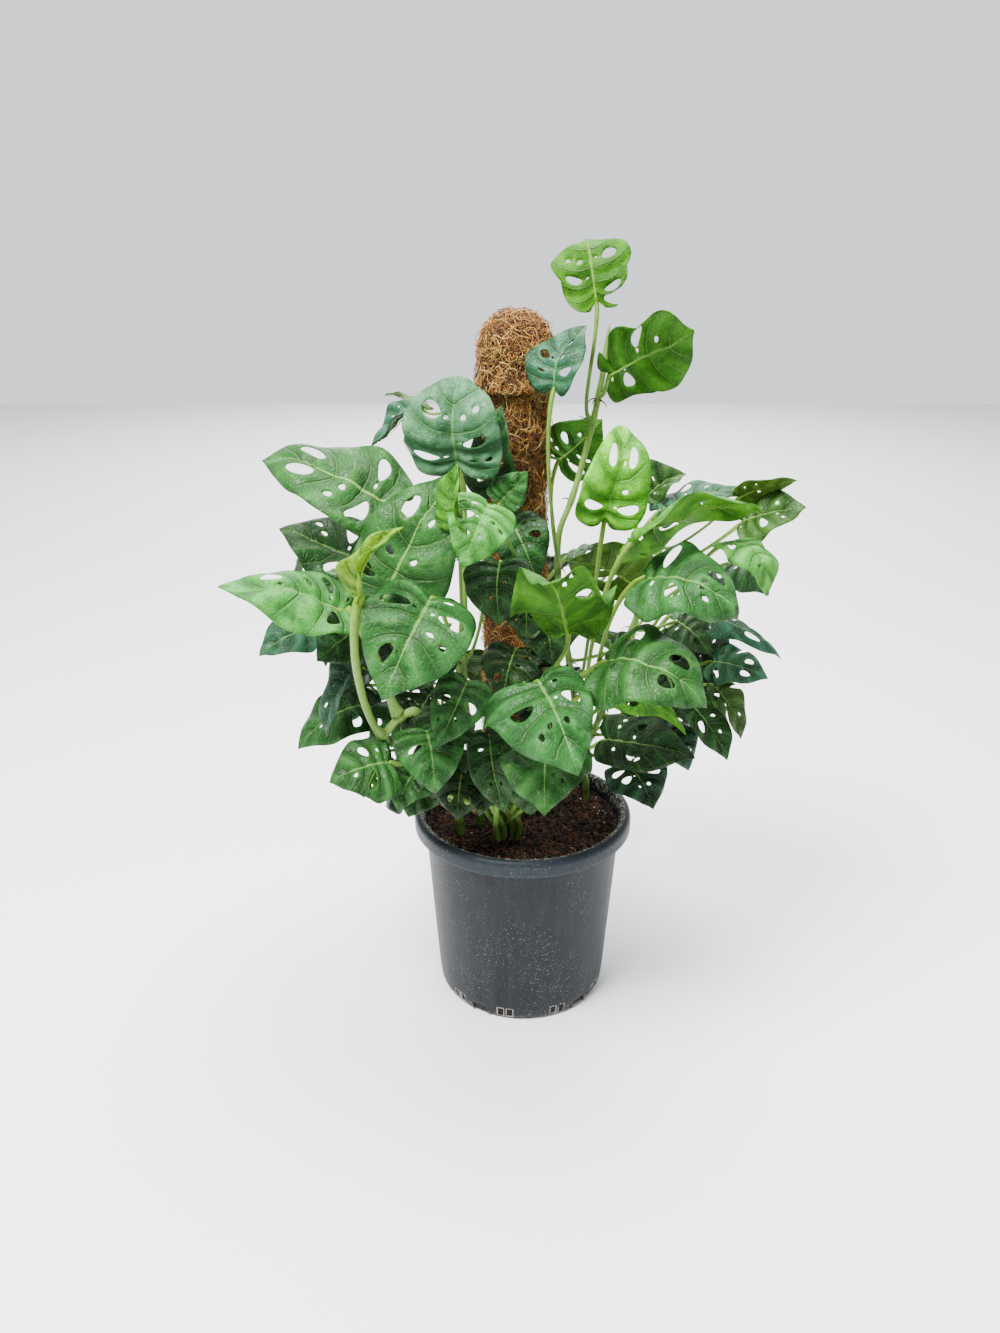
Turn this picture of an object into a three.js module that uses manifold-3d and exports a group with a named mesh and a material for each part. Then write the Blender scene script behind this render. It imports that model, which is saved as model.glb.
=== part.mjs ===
// A potted swiss cheese vine climbing a coir pole, in a nursery container.
// Millimetres, +Z up, origin at the middle of the pot's underside.
import * as THREE from "three";
import { mergeVertices } from "three/addons/utils/BufferGeometryUtils.js";
import Module from "manifold-3d";

const wasm = await Module();
wasm.setup();

// ---- driving dimensions ----------------------------------------------------
const clearance = 0.3; // air gap between pieces that touch

const pot = {
  height: 217,
  mouthRadius: 108, // inside the rim
  rimOverhang: 12, // how far the rim stands out round the mouth
  rimBand: 18, // height of the turned-over rim
  baseRadius: 94,
  wall: 2.2,
  floor: 3,
  footRound: 4, // round of the lower edge
  segments: 36,
};

const drainage = {
  count: 5, // channels under the floor, each ending in a notch in the wall
  firstAngle: -120, // degrees round the pot from +X to the first channel
  width: 17,
  height: 8,
  start: 42, // distance of a channel's inner end from the axis
  pairOffset: 18, // degrees from a channel to the pair of slots on each side of it
  slotWidth: 6.5,
  slotHeight: 11,
  slotSill: 4, // height of a slot's lower edge above the table
  slotSpread: 3.1, // degrees from the middle of a pair to each slot
};

const rimRadius = pot.mouthRadius + pot.rimOverhang;

const soil = {
  belowRim: 16,
  crown: 3, // how far the middle stands above the edge
  shoulder: 0.6, // where most of that slope begins, as a share of the radius
};
const soilTop = pot.height - soil.belowRim;

const pole = {
  x: -10,
  y: 28,
  coreRadius: 11,
  coreFoot: 24, // height of the core's lower end above the table
  sleeveRadius: 32,
  sleeveDepth: 51, // how far the wrap reaches down into the soil
  capAboveSoil: 461,
  topAboveSoil: 532,
  capOverhang: 3, // how far the cap stands out round the wrap
  coreInCap: 18, // how far the core reaches up into the cap
  capSkirt: 8, // height of the cap's slightly flared lower edge
  domeShare: 0.8, // height of the dome as a share of its radius
  bindings: 4, // rounds of twine that draw the wrap in
  bindingDepth: 1.2,
  segments: 20,
};
const sleeveFoot = soilTop - pole.sleeveDepth;
const capFoot = soilTop + pole.capAboveSoil;
const capRadius = pole.sleeveRadius + pole.capOverhang;
const poleTop = soilTop + pole.topAboveSoil;

// The sizes round which the plant's points below were chosen.
const planted = { sleeveRadius: 32, mouthRadius: 108 };

const blade = {
  thickness: 1.4,
  rows: 6, // from the leaf's base to its tip
  columns: [-1, -0.68, -0.3, 0.3, 0.68, 1], // across, as shares of the half width
};

const petiole = {
  radius: 1.7,
  sides: 5,
  steps: 5,
  stub: 14, // how far it runs square to the stem before it turns
  rise: 0.15, // how far below the blade it turns up, as a share of its span
  lead: 0.2, // how far behind the blade it lines up with the midrib, likewise
  gap: 0.45, // to the stem that it stands on
  midribShare: 0.35, // how far it runs on into the blade, as a row of the blade
};

// The stems, each from its root in the soil to its growing end, as points chosen
// along its run, with heights above the soil. They keep to the outside of the coir.
const stems = {
  front: {
    radius: 4.5,
    points: [[-14, -22, -51], [-10, -26, 4], [0, -42, 99], [8, -56, 199], [6, -56, 279], [-6, -42, 344]],
  },
  left: {
    radius: 4.2,
    points: [[-44, -16, -51], [-46, -22, 4], [-56, -40, 99], [-62, -50, 199], [-60, -40, 299],
      [-62, -22, 389], [-72, -5, 449]],
  },
  right: {
    radius: 3.6,
    points: [[75, 42, -51], [75, 42, 4], [62, 22, 99], [46, -4, 199], [34, -14, 279], [34, -12, 329],
      [46, 0, 359], [60, 8, 409], [72, 8, 469], [78, 8, 524]],
  },
  low_left: {
    radius: 4.8,
    points: [[-66, -30, -51], [-68, -36, 9], [-78, -66, 99], [-92, -94, 154], [-108, -108, 177],
      [-126, -112, 167], [-140, -112, 147]],
  },
  rear_right: {
    radius: 4,
    points: [[58, 70, -51], [60, 72, 4], [92, 70, 99], [120, 60, 199], [136, 50, 269], [150, 40, 319]],
  },
  rear_left: {
    radius: 4,
    points: [[-60, 66, -51], [-64, 66, 4], [-92, 50, 99], [-112, 34, 189], [-128, 20, 269],
      [-136, 10, 319]],
  },
  rear: {
    radius: 4,
    points: [[0, 78, -51], [0, 80, 4], [8, 88, 119], [4, 90, 239], [-4, 86, 359], [-8, 78, 459]],
  },
};
const stemSides = 10;
const stepsPerSpan = 3;

// A cut, dried stem that lies over the rim.
const dryStem = {
  radius: 2.6,
  points: [[-40, -6, -23], [-50, 2, 2], [-76, 13, 16], [-104, 22, 24], [-126, 30, 28]],
};

// The leaves. `vine` and `at` say which stem a leaf stands on and how far along
// it, base and tip are the two ends of the midrib, and `face` is the way that the
// upper surface looks. `arch` is the rise of the midrib as a share of its length,
// `cup` the angle in degrees that each half is lifted by, and `asym` scales the
// left and right halves. `left` and `right` list the rows that have a hole.
const leaves = [
  { name: "crown", vine: "right", at: 0.85, base: [65, 5, 544], tip: [55, 40, 604],
    face: [0.1, 0.95, 0.1], width: 64, arch: -0.12, cup: 8, right: [3], left: [2, 4] },
  { name: "crown_right", vine: "right", at: 0.89, base: [80, 0, 479], tip: [165, -15, 509],
    face: [-0.1, 0.8, 0.45], width: 72, arch: 0.08, cup: -6, right: [3], left: [2] },
  { name: "crown_left", vine: "right", at: 0.6, base: [25, -30, 469], tip: [55, 0, 524],
    face: [-0.6, -0.7, 0.4], width: 58, arch: 0.12, cup: 16, left: [3], right: [2, 4] },
  { name: "pole_right", vine: "right", at: 0.6, base: [35, 50, 389], tip: [80, 65, 429],
    face: [0.3, 0.9, 0.1], width: 60, arch: 0.05, cup: 6, right: [3], left: [2] },
  { name: "bright", vine: "right", at: 0.36, base: [70, -90, 359], tip: [90, -95, 449],
    face: [0.2, -0.95, 0.15], width: 60, arch: 0.06, cup: 8, right: [2, 4], left: [2, 4] },
  { name: "shelf", vine: "right", at: 0.3, base: [95, -105, 344], tip: [215, -60, 374],
    face: [0.05, 0.62, 0.78], width: 86, arch: 0.05, cup: -8, right: [2, 4], left: [3] },
  { name: "shelf_back", vine: "right", at: 0.5, base: [135, 0, 349], tip: [220, 10, 369],
    face: [0.0, -0.2, 1], width: 60, arch: 0.06, cup: -8, right: [3], left: [3] },
  { name: "far_right", vine: "rear_right", at: 0.88, base: [215, -10, 339], tip: [270, -30, 359],
    face: [0.0, -0.65, 0.8], width: 56, arch: 0.05, cup: 6, right: [3] },
  { name: "hook_right", vine: "rear_right", at: 0.52, base: [190, -75, 334], tip: [220, -110, 294],
    face: [0.5, -0.6, 0.6], width: 58, arch: 0.24, cup: -8, right: [2], left: [3] },
  { name: "broad_right", vine: "right", at: 0.2, base: [105, -120, 314], tip: [185, -160, 294],
    face: [0.15, -0.6, 0.8], width: 86, arch: 0.18, cup: -12, right: [3], left: [2, 4] },
  { name: "inner_right", vine: "right", at: 0.27, base: [105, -40, 284], tip: [40, -75, 319],
    face: [0.0, 0.75, 0.65], width: 72, arch: 0.1, cup: 5, right: [2], left: [3] },
  { name: "cap_centre", vine: "front", at: 0.62, base: [35, -150, 274], tip: [10, -215, 339],
    face: [0.0, 0.5, 0.85], width: 84, arch: 0.1, cup: 10, left: [3] },
  { name: "long_right", vine: "front", at: 0.55, base: [70, -150, 244], tip: [155, -200, 229],
    face: [0.1, -0.6, 0.8], width: 86, arch: 0.16, cup: -8, right: [4], left: [2, 4] },
  { name: "under_right", vine: "front", at: 0.48, base: [65, -140, 214], tip: [145, -160, 179],
    face: [-0.1, 0.6, 0.75], width: 66, arch: 0.1, cup: -5, right: [3], left: [3] },
  { name: "low_right", vine: "front", at: 0.3, base: [80, -80, 134], tip: [165, -110, 129],
    face: [0.0, -0.55, 0.83], width: 60, arch: 0.08, cup: 6, right: [3], left: [3] },
  { name: "low_dark", vine: "rear_right", at: 0.4, base: [175, -10, 144], tip: [215, -35, 89],
    face: [0.4, -0.75, 0.5], width: 48, arch: 0.1, cup: 12, right: [3] },
  { name: "slender", vine: "rear_right", at: 0.65, base: [180, 40, 224], tip: [280, 30, 179],
    face: [0.25, -0.3, 0.95], width: 44, arch: 0.14, cup: -25, right: [2, 4], left: [3] },
  { name: "lace", vine: "rear_right", at: 0.6, base: [200, 10, 184], tip: [255, -15, 174],
    face: [0.0, -0.7, 0.75], width: 46, arch: 0.14, cup: -8, right: [2, 4], left: [2, 4] },
  { name: "front", vine: "front", at: 0.6, base: [10, -150, 224], tip: [40, -235, 179],
    face: [-0.1, -0.7, 0.7], width: 92, arch: 0.12, cup: -6, asym: [0.75, 1.2], right: [3], left: [1, 3] },
  { name: "front_low", vine: "front", at: 0.35, base: [20, -125, 149], tip: [15, -195, 114],
    face: [0.0, -0.65, 0.75], width: 80, arch: 0.12, cup: -6, right: [3], left: [2] },
  { name: "foot_right", vine: "front", at: 0.22, base: [-35, -105, 149], tip: [-20, -130, 79],
    face: [-0.2, -0.8, 0.5], width: 44, arch: 0.08, cup: 10 },
  { name: "left_mid", vine: "front", at: 0.42, base: [-55, -125, 214], tip: [-80, -160, 164],
    face: [-0.2, -0.8, 0.5], width: 52, arch: 0.1, cup: -8, right: [3], left: [3] },
  { name: "broad_left", vine: "left", at: 0.45, base: [-85, -155, 304], tip: [-125, -205, 229],
    face: [0.0, -0.85, 0.5], width: 90, arch: 0.1, cup: -6, right: [2, 4], left: [2] },
  { name: "large_left", vine: "left", at: 0.48, base: [-130, -130, 294], tip: [-65, -100, 409],
    face: [-0.15, -0.85, 0.45], width: 88, arch: 0.08, cup: -5, right: [2], left: [2, 4] },
  { name: "tall_left", vine: "left", at: 0.78, base: [-65, -50, 399], tip: [-65, -70, 484],
    face: [-0.2, -0.95, 0.25], width: 84, arch: 0.06, cup: 8, right: [3], left: [2, 4] },
  { name: "behind_left", vine: "left", at: 0.52, base: [-30, -40, 374], tip: [-25, -30, 454],
    face: [-0.55, -0.8, 0.2], width: 52, arch: 0.06, cup: 16, right: [3] },
  { name: "knife_upper", vine: "left", at: 1.0, base: [-100, 20, 444], tip: [-140, 40, 454],
    face: [-0.1, 0.25, 0.95], width: 40, arch: 0.1, cup: 10 },
  { name: "knife_lower", vine: "left", at: 0.92, base: [-110, -10, 449], tip: [-150, -20, 414],
    face: [-0.85, -0.2, 0.6], width: 46, arch: -0.05, cup: 18 },
  { name: "wing_left", vine: "left", at: 0.72, base: [-125, -70, 369], tip: [-250, -40, 414],
    face: [-0.12, -0.5, 0.88], width: 88, arch: 0.08, cup: -4, right: [2, 4], left: [2, 4] },
  { name: "dark_left", vine: "rear_left", at: 0.8, base: [-145, -45, 294], tip: [-240, -30, 339],
    face: [-0.15, -0.6, 0.8], width: 78, arch: 0.06, cup: -4, right: [3], left: [3] },
  { name: "spear_left", vine: "low_left", at: 0.89, base: [-165, -110, 279], tip: [-270, -150, 314],
    face: [0.0, -0.4, 0.92], width: 80, arch: 0.08, cup: -8, right: [2, 4], left: [2] },
  { name: "young", vine: "low_left", at: 0.97, base: [-145, -165, 309], tip: [-105, -160, 369],
    face: [0.6, -0.6, -0.3], width: 28, arch: 0.18, cup: 40 },
  { name: "wing_low", vine: "rear_left", at: 0.68, base: [-205, -50, 249], tip: [-260, -70, 219],
    face: [-0.1, -0.6, 0.8], width: 52, arch: 0.05, cup: 8, right: [3] },
  { name: "shade_left", vine: "rear_left", at: 0.55, base: [-155, -80, 254], tip: [-200, -95, 224],
    face: [-0.1, -0.75, 0.6], width: 58, arch: 0.05, cup: 8 },
  { name: "low_left", vine: "low_left", at: 0.6, base: [-130, -130, 134], tip: [-185, -150, 124],
    face: [0.0, -0.6, 0.8], width: 66, arch: 0.14, cup: -8, right: [3], left: [3] },
  { name: "arch_left", vine: "low_left", at: 0.55, base: [-165, -50, 159], tip: [-230, -70, 119],
    face: [0.1, -0.5, 0.85], width: 56, arch: 0.16, cup: -6, right: [3], left: [2] },
  { name: "low_mid", vine: "low_left", at: 0.52, base: [-95, -120, 164], tip: [-85, -170, 124],
    face: [0.0, -0.7, 0.7], width: 62, arch: 0.1, cup: -6, right: [3], left: [3] },
  { name: "heart", vine: "front", at: 0.85, base: [-35, -125, 379], tip: [-55, -170, 339],
    face: [0.1, -0.9, 0.4], width: 56, arch: 0.1, cup: -5, right: [3] },
  { name: "back_upper", vine: "rear", at: 0.95, base: [-12, 100, 399], tip: [-8, 115, 314],
    face: [0, 0.95, 0.2], width: 62, arch: 0.08, cup: 6, right: [3], left: [2] },
  { name: "back_left_high", vine: "rear", at: 0.6, base: [-60, 118, 279], tip: [-135, 150, 264],
    face: [-0.1, 0.4, 0.9], width: 84, arch: 0.14, cup: -6, right: [2, 4], left: [3] },
  { name: "back_right_high", vine: "rear", at: 0.55, base: [52, 122, 269], tip: [130, 150, 259],
    face: [0.1, 0.4, 0.9], width: 82, arch: 0.14, cup: -6, right: [2], left: [2, 4] },
  { name: "back_centre", vine: "rear", at: 0.47, base: [-5, 135, 254], tip: [8, 194, 185],
    face: [0, 0.75, 0.65], width: 90, arch: 0.12, cup: -6, right: [2, 4], left: [2] },
  { name: "back_left_low", vine: "rear_left", at: 0.4, base: [-105, 105, 189], tip: [-165, 150, 144],
    face: [-0.3, 0.5, 0.8], width: 76, arch: 0.12, cup: -6, right: [4], left: [3] },
  { name: "back_right_low", vine: "rear", at: 0.34, base: [70, 125, 179], tip: [120, 180, 129],
    face: [0.3, 0.5, 0.8], width: 80, arch: 0.12, cup: -6, right: [3], left: [2] },
  { name: "back_low", vine: "rear", at: 0.22, base: [-35, 130, 149], tip: [-50, 185, 84],
    face: [-0.1, 0.75, 0.65], width: 80, arch: 0.1, cup: -6, right: [2], left: [3] },
  { name: "side_left", vine: "rear_left", at: 0.72, base: [-165, 50, 264], tip: [-240, 80, 244],
    face: [-0.2, 0.2, 0.95], width: 78, arch: 0.12, cup: -6, right: [2], left: [4] },
  { name: "side_right", vine: "rear_right", at: 0.45, base: [165, 75, 214], tip: [230, 105, 189],
    face: [0.3, 0.3, 0.9], width: 74, arch: 0.12, cup: -6, right: [3], left: [2] },
];

// Half outline of a leaf as (share of the half width, share of the length), from
// the notch where the petiole joins, round the basal lobe, to the tip.
const outline = [
  [0, 0], [0.34, -0.09], [0.8, -0.03], [1, 0.17], [0.97, 0.36], [0.8, 0.56], [0.52, 0.76], [0.2, 0.91],
  [0, 1],
];
const veinSweep = 2.2; // how strongly the side veins lean towards the tip

// ---- solids ----------------------------------------------------------------
function solidFrom(geometry) {
  const bare = geometry.index ? geometry.clone() : geometry;
  bare.deleteAttribute("normal");
  bare.deleteAttribute("uv");
  const merged = mergeVertices(bare, 1e-4);
  return new wasm.Manifold(new wasm.Mesh({
    numProp: 3,
    vertProperties: new Float32Array(merged.attributes.position.array),
    triVerts: new Uint32Array(merged.index.array),
  }));
}

// Joins and cuts leave some vertices almost on top of each other: those are merged.
const mergeWithin = 0.02;
function geometryFrom(solid) {
  const mesh = solid.simplify(mergeWithin).getMesh();
  const geometry = new THREE.BufferGeometry();
  geometry.setAttribute("position", new THREE.BufferAttribute(mesh.vertProperties, 3));
  geometry.setIndex(new THREE.BufferAttribute(mesh.triVerts, 1));
  geometry.computeVertexNormals();
  return geometry;
}

function material(color, roughness, metalness = 0) {
  return new THREE.MeshStandardMaterial({ color, roughness, metalness });
}

const looks = {
  pot: material(0x3f4a54, 0.45),
  soil: material(0x2a1c15, 0.95),
  core: material(0x7a6a52, 0.7),
  coir: material(0x8f6238, 0.95),
  stem: material(0x7f9a4c, 0.55),
  dryStem: material(0xc6a265, 0.75),
  leaf: material(0x4a8550, 0.4),
};

function meshOf(name, geometry, look) {
  const mesh = new THREE.Mesh(geometry, look);
  mesh.name = name;
  return mesh;
}

// A turned solid about the Z axis, from [radius, height] points.
function turned(profile, segments) {
  const points = profile.map(([radius, height]) => new THREE.Vector2(radius, height));
  const geometry = new THREE.LatheGeometry(points, segments);
  geometry.rotateX(Math.PI / 2);
  return solidFrom(geometry);
}

function block(width, depth, height, x, y, z) {
  const geometry = new THREE.BoxGeometry(width, depth, height);
  geometry.translate(x, y, z);
  return geometry;
}

function curveThrough(points) {
  return new THREE.CatmullRomCurve3(points.map((point) => new THREE.Vector3(...point)), false, "centripetal");
}

// A round bar of `sides` flats along a curve.
function bar(curve, radius, sides, steps) {
  const section = new THREE.Shape();
  for (let side = 0; side < sides; side += 1) {
    const angle = (2 * Math.PI * side) / sides;
    const x = radius * Math.cos(angle);
    const y = radius * Math.sin(angle);
    if (side === 0) section.moveTo(x, y);
    else section.lineTo(x, y);
  }
  section.closePath();
  const geometry = new THREE.ExtrudeGeometry(section, { steps, extrudePath: curve, bevelEnabled: false });
  return solidFrom(geometry);
}

// ---- pot -------------------------------------------------------------------
// Radius of the pot's outer wall at a height, a straight taper up to the rim.
function outerRadiusAt(height) {
  const share = Math.min(height / (pot.height - pot.rimBand), 1);
  return pot.baseRadius + (pot.mouthRadius - pot.baseRadius) * share;
}

function innerRadiusAt(height) {
  return outerRadiusAt(height) - pot.wall;
}

// The way round the pot to a channel, in radians.
function channelAngle(index) {
  return THREE.MathUtils.degToRad(drainage.firstAngle + (360 * index) / drainage.count);
}

// The same radial block at every drainage channel.
function atEachChannel(makeBlock) {
  let joined = null;
  for (let index = 0; index < drainage.count; index += 1) {
    const geometry = makeBlock();
    geometry.rotateZ(channelAngle(index));
    const solid = solidFrom(geometry);
    joined = joined ? joined.add(solid) : solid;
  }
  return joined;
}

// Ribs that carry the floor over the channels; `grow` enlarges them all round.
function channelRibs(reach, grow) {
  const width = drainage.width + 2 * pot.wall + 2 * grow;
  const height = drainage.height + pot.floor + grow;
  const start = drainage.start - pot.wall - grow;
  return atEachChannel(() => block(reach - start, width, height, (reach + start) / 2, 0, height / 2));
}

function makePot() {
  const rimFoot = pot.height - pot.rimBand;
  const rimInner = pot.mouthRadius + pot.wall;
  const rimTopRound = (rimRadius - rimInner) / 2;
  const crest = (rimRadius + pot.mouthRadius) / 2;
  const profile = [
    [0, 0],
    [pot.baseRadius - pot.footRound, 0],
    [pot.baseRadius, pot.footRound],
    [outerRadiusAt(rimFoot), rimFoot],
    [rimInner, pot.height - pot.wall - rimTopRound],
    [crest, pot.height - pot.wall],
    [rimRadius - pot.wall, pot.height - pot.wall - rimTopRound],
    [rimRadius - pot.wall, rimFoot],
    [rimRadius, rimFoot],
    [rimRadius, pot.height - rimTopRound],
    [rimRadius - rimTopRound / 2, pot.height - rimTopRound / 3],
    [crest, pot.height],
    [pot.mouthRadius + rimTopRound / 2, pot.height - rimTopRound / 3],
    [pot.mouthRadius, pot.height - rimTopRound],
    [innerRadiusAt(rimFoot), rimFoot],
    [innerRadiusAt(pot.floor), pot.floor],
    [0, pot.floor],
  ];
  const reach = pot.baseRadius - pot.wall / 2;
  const through = rimRadius;
  const channel = atEachChannel(() => block(
    through - drainage.start, drainage.width, 2 * drainage.height,
    (through + drainage.start) / 2, 0, 0,
  ));
  let shell = turned(profile, pot.segments).add(channelRibs(reach, 0)).subtract(channel);
  const slotDepth = 8 * pot.wall; // longer than the wall is thick, so the cut goes right through
  const slotMiddle = drainage.slotSill + drainage.slotHeight / 2;
  for (let index = 0; index < drainage.count; index += 1) {
    for (const [pair, side] of [[-1, -1], [-1, 1], [1, -1], [1, 1]]) {
      const turn = pair * drainage.pairOffset + side * drainage.slotSpread;
      const place = outerRadiusAt(slotMiddle);
      const slot = block(slotDepth, drainage.slotWidth, drainage.slotHeight, place, 0, slotMiddle);
      slot.rotateZ(channelAngle(index) + THREE.MathUtils.degToRad(turn));
      shell = shell.subtract(solidFrom(slot));
    }
  }
  return shell;
}

// ---- soil, with a socket for everything that stands in it --------------------
function makeSoil() {
  const floorTop = pot.floor + clearance;
  const profile = [
    [0, floorTop],
    [innerRadiusAt(floorTop) - clearance, floorTop],
    [innerRadiusAt(soilTop) - clearance, soilTop],
    [innerRadiusAt(soilTop) * soil.shoulder, soilTop + soil.crown * soil.shoulder],
    [0, soilTop + soil.crown],
  ];
  let bed = turned(profile, pot.segments).subtract(channelRibs(pot.baseRadius, clearance));
  for (const stem of Object.values(stems)) {
    bed = bed.subtract(stemBar(stem, clearance));
  }
  bed = bed.subtract(stemBar(dryStem, clearance));
  const socket = [
    [0, pole.coreFoot - clearance],
    [pole.coreRadius + clearance, pole.coreFoot - clearance],
    [pole.coreRadius + clearance, sleeveFoot - clearance],
    [pole.sleeveRadius + clearance, sleeveFoot - clearance],
    [pole.sleeveRadius + clearance, pot.height],
    [0, pot.height],
  ];
  return bed.subtract(turned(socket, pole.segments).translate([pole.x, pole.y, 0]));
}

// ---- pole --------------------------------------------------------------------
function onPole(solid) {
  return solid.translate([pole.x, pole.y, 0]);
}

function makePoleCore() {
  const top = capFoot + pole.coreInCap;
  const profile = [[0, pole.coreFoot], [pole.coreRadius, pole.coreFoot], [pole.coreRadius, top], [0, top]];
  return onPole(turned(profile, pole.segments));
}

// The coir wrap: gentle bulges between the rounds of the binding.
function makeSleeve() {
  const bore = pole.coreRadius + clearance;
  const top = capFoot - clearance;
  const profile = [[bore, sleeveFoot]];
  const bands = 2 * pole.bindings;
  for (let band = 0; band <= bands; band += 1) {
    const inset = band % 2 === 0 ? pole.bindingDepth : 0;
    profile.push([pole.sleeveRadius - inset, sleeveFoot + ((top - sleeveFoot) * band) / bands]);
  }
  profile.push([bore, top], [bore, sleeveFoot]);
  return onPole(turned(profile, pole.segments));
}

function makeCap() {
  const bore = pole.coreRadius + clearance;
  const boreTop = capFoot + pole.coreInCap + clearance;
  const domeHeight = capRadius * pole.domeShare;
  const spring = poleTop - domeHeight;
  const profile = [
    [bore, capFoot],
    [capRadius - pole.bindingDepth, capFoot],
    [capRadius, capFoot + pole.capSkirt],
    [capRadius - pole.bindingDepth, (capFoot + spring) / 2],
  ];
  const arcSteps = 5;
  for (let step = 0; step < arcSteps; step += 1) {
    const angle = (step * Math.PI) / 2 / arcSteps;
    profile.push([capRadius * Math.cos(angle), spring + domeHeight * Math.sin(angle)]);
  }
  profile.push([0, poleTop], [0, boreTop], [bore, boreTop], [bore, capFoot]);
  return onPole(turned(profile, pole.segments));
}

// ---- stems and leaves ----------------------------------------------------------
// Where a point of the plant stands. In the pot it keeps its share of the mouth, and
// everywhere it keeps its distance from the coir.
function placed([x, y, aboveSoil]) {
  const share = aboveSoil < soil.belowRim ? pot.mouthRadius / planted.mouthRadius : 1;
  const fromPole = new THREE.Vector2(x * share - pole.x, y * share - pole.y).normalize();
  const push = pole.sleeveRadius - planted.sleeveRadius;
  return [x * share + fromPole.x * push, y * share + fromPole.y * push, soilTop + aboveSoil];
}

function stemCurve(stem) {
  return curveThrough(stem.points.map(placed));
}

function stemBar(stem, grow) {
  const steps = stepsPerSpan * (stem.points.length - 1);
  return bar(stemCurve(stem), stem.radius + grow, stemSides, steps);
}

// A point of the half outline, with `u` from 0 at the notch to 1 at the tip.
function outlineAt(u) {
  const spans = outline.length - 1;
  const place = Math.min(u * spans, spans - 1e-9);
  const index = Math.floor(place);
  const part = place - index;
  const at = (i) => {
    if (i < 0) return outline[0].map((value, axis) => 2 * value - outline[1][axis]);
    if (i > spans) return outline[spans].map((value, axis) => 2 * value - outline[spans - 1][axis]);
    return outline[i];
  };
  return [0, 1].map((axis) => {
    const [a, b, c, d] = [at(index - 1)[axis], at(index)[axis], at(index + 1)[axis], at(index + 2)[axis]];
    return 0.5 * (2 * b + (c - a) * part + (2 * a - 5 * b + 4 * c - d) * part ** 2
      + (3 * b - a - 3 * c + d) * part ** 3);
  });
}

// The leaf's own axes: along the midrib, across it, and out of the upper side.
function leafFrame(leaf) {
  const base = new THREE.Vector3(...placed(leaf.base));
  const along = new THREE.Vector3(...placed(leaf.tip)).sub(base);
  const length = along.length();
  along.divideScalar(length);
  const up = new THREE.Vector3(...leaf.face);
  up.addScaledVector(along, -up.dot(along)).normalize();
  const across = new THREE.Vector3().crossVectors(along, up);
  return { base, along, across, up, length };
}

// A point of the leaf's middle surface: u runs from base to tip, v from -1 to 1.
function surfacePoint(leaf, frame, u, v) {
  const side = Math.abs(v);
  const [edgeX, edgeY] = outlineAt(u);
  const bow = 0.05 * Math.sin(Math.PI * side) * Math.sin(Math.PI * u);
  const y = u ** veinSweep * (1 - side) + edgeY * side - bow;
  const [leftScale, rightScale] = leaf.asym ?? [1, 1];
  const x = (edgeX * v * leaf.width * (v < 0 ? leftScale : rightScale)) / 2;
  const cup = THREE.MathUtils.degToRad(leaf.cup ?? 0);
  const rise = Math.abs(x) * Math.sin(cup) + (leaf.arch ?? 0) * frame.length * 4 * y * (1 - y);
  return frame.base.clone()
    .addScaledVector(frame.along, y * frame.length)
    .addScaledVector(frame.across, x * Math.cos(cup))
    .addScaledVector(frame.up, rise);
}

function surfaceNormal(leaf, frame, u, v) {
  const step = 0.02;
  const inset = THREE.MathUtils.clamp(u, 0.04, 0.96);
  const alongU = surfacePoint(leaf, frame, inset + step, v).sub(surfacePoint(leaf, frame, inset - step, v));
  const alongV = surfacePoint(leaf, frame, inset, Math.min(v + step, 1))
    .sub(surfacePoint(leaf, frame, inset, Math.max(v - step, -1)));
  return alongV.cross(alongU).normalize();
}

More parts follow.
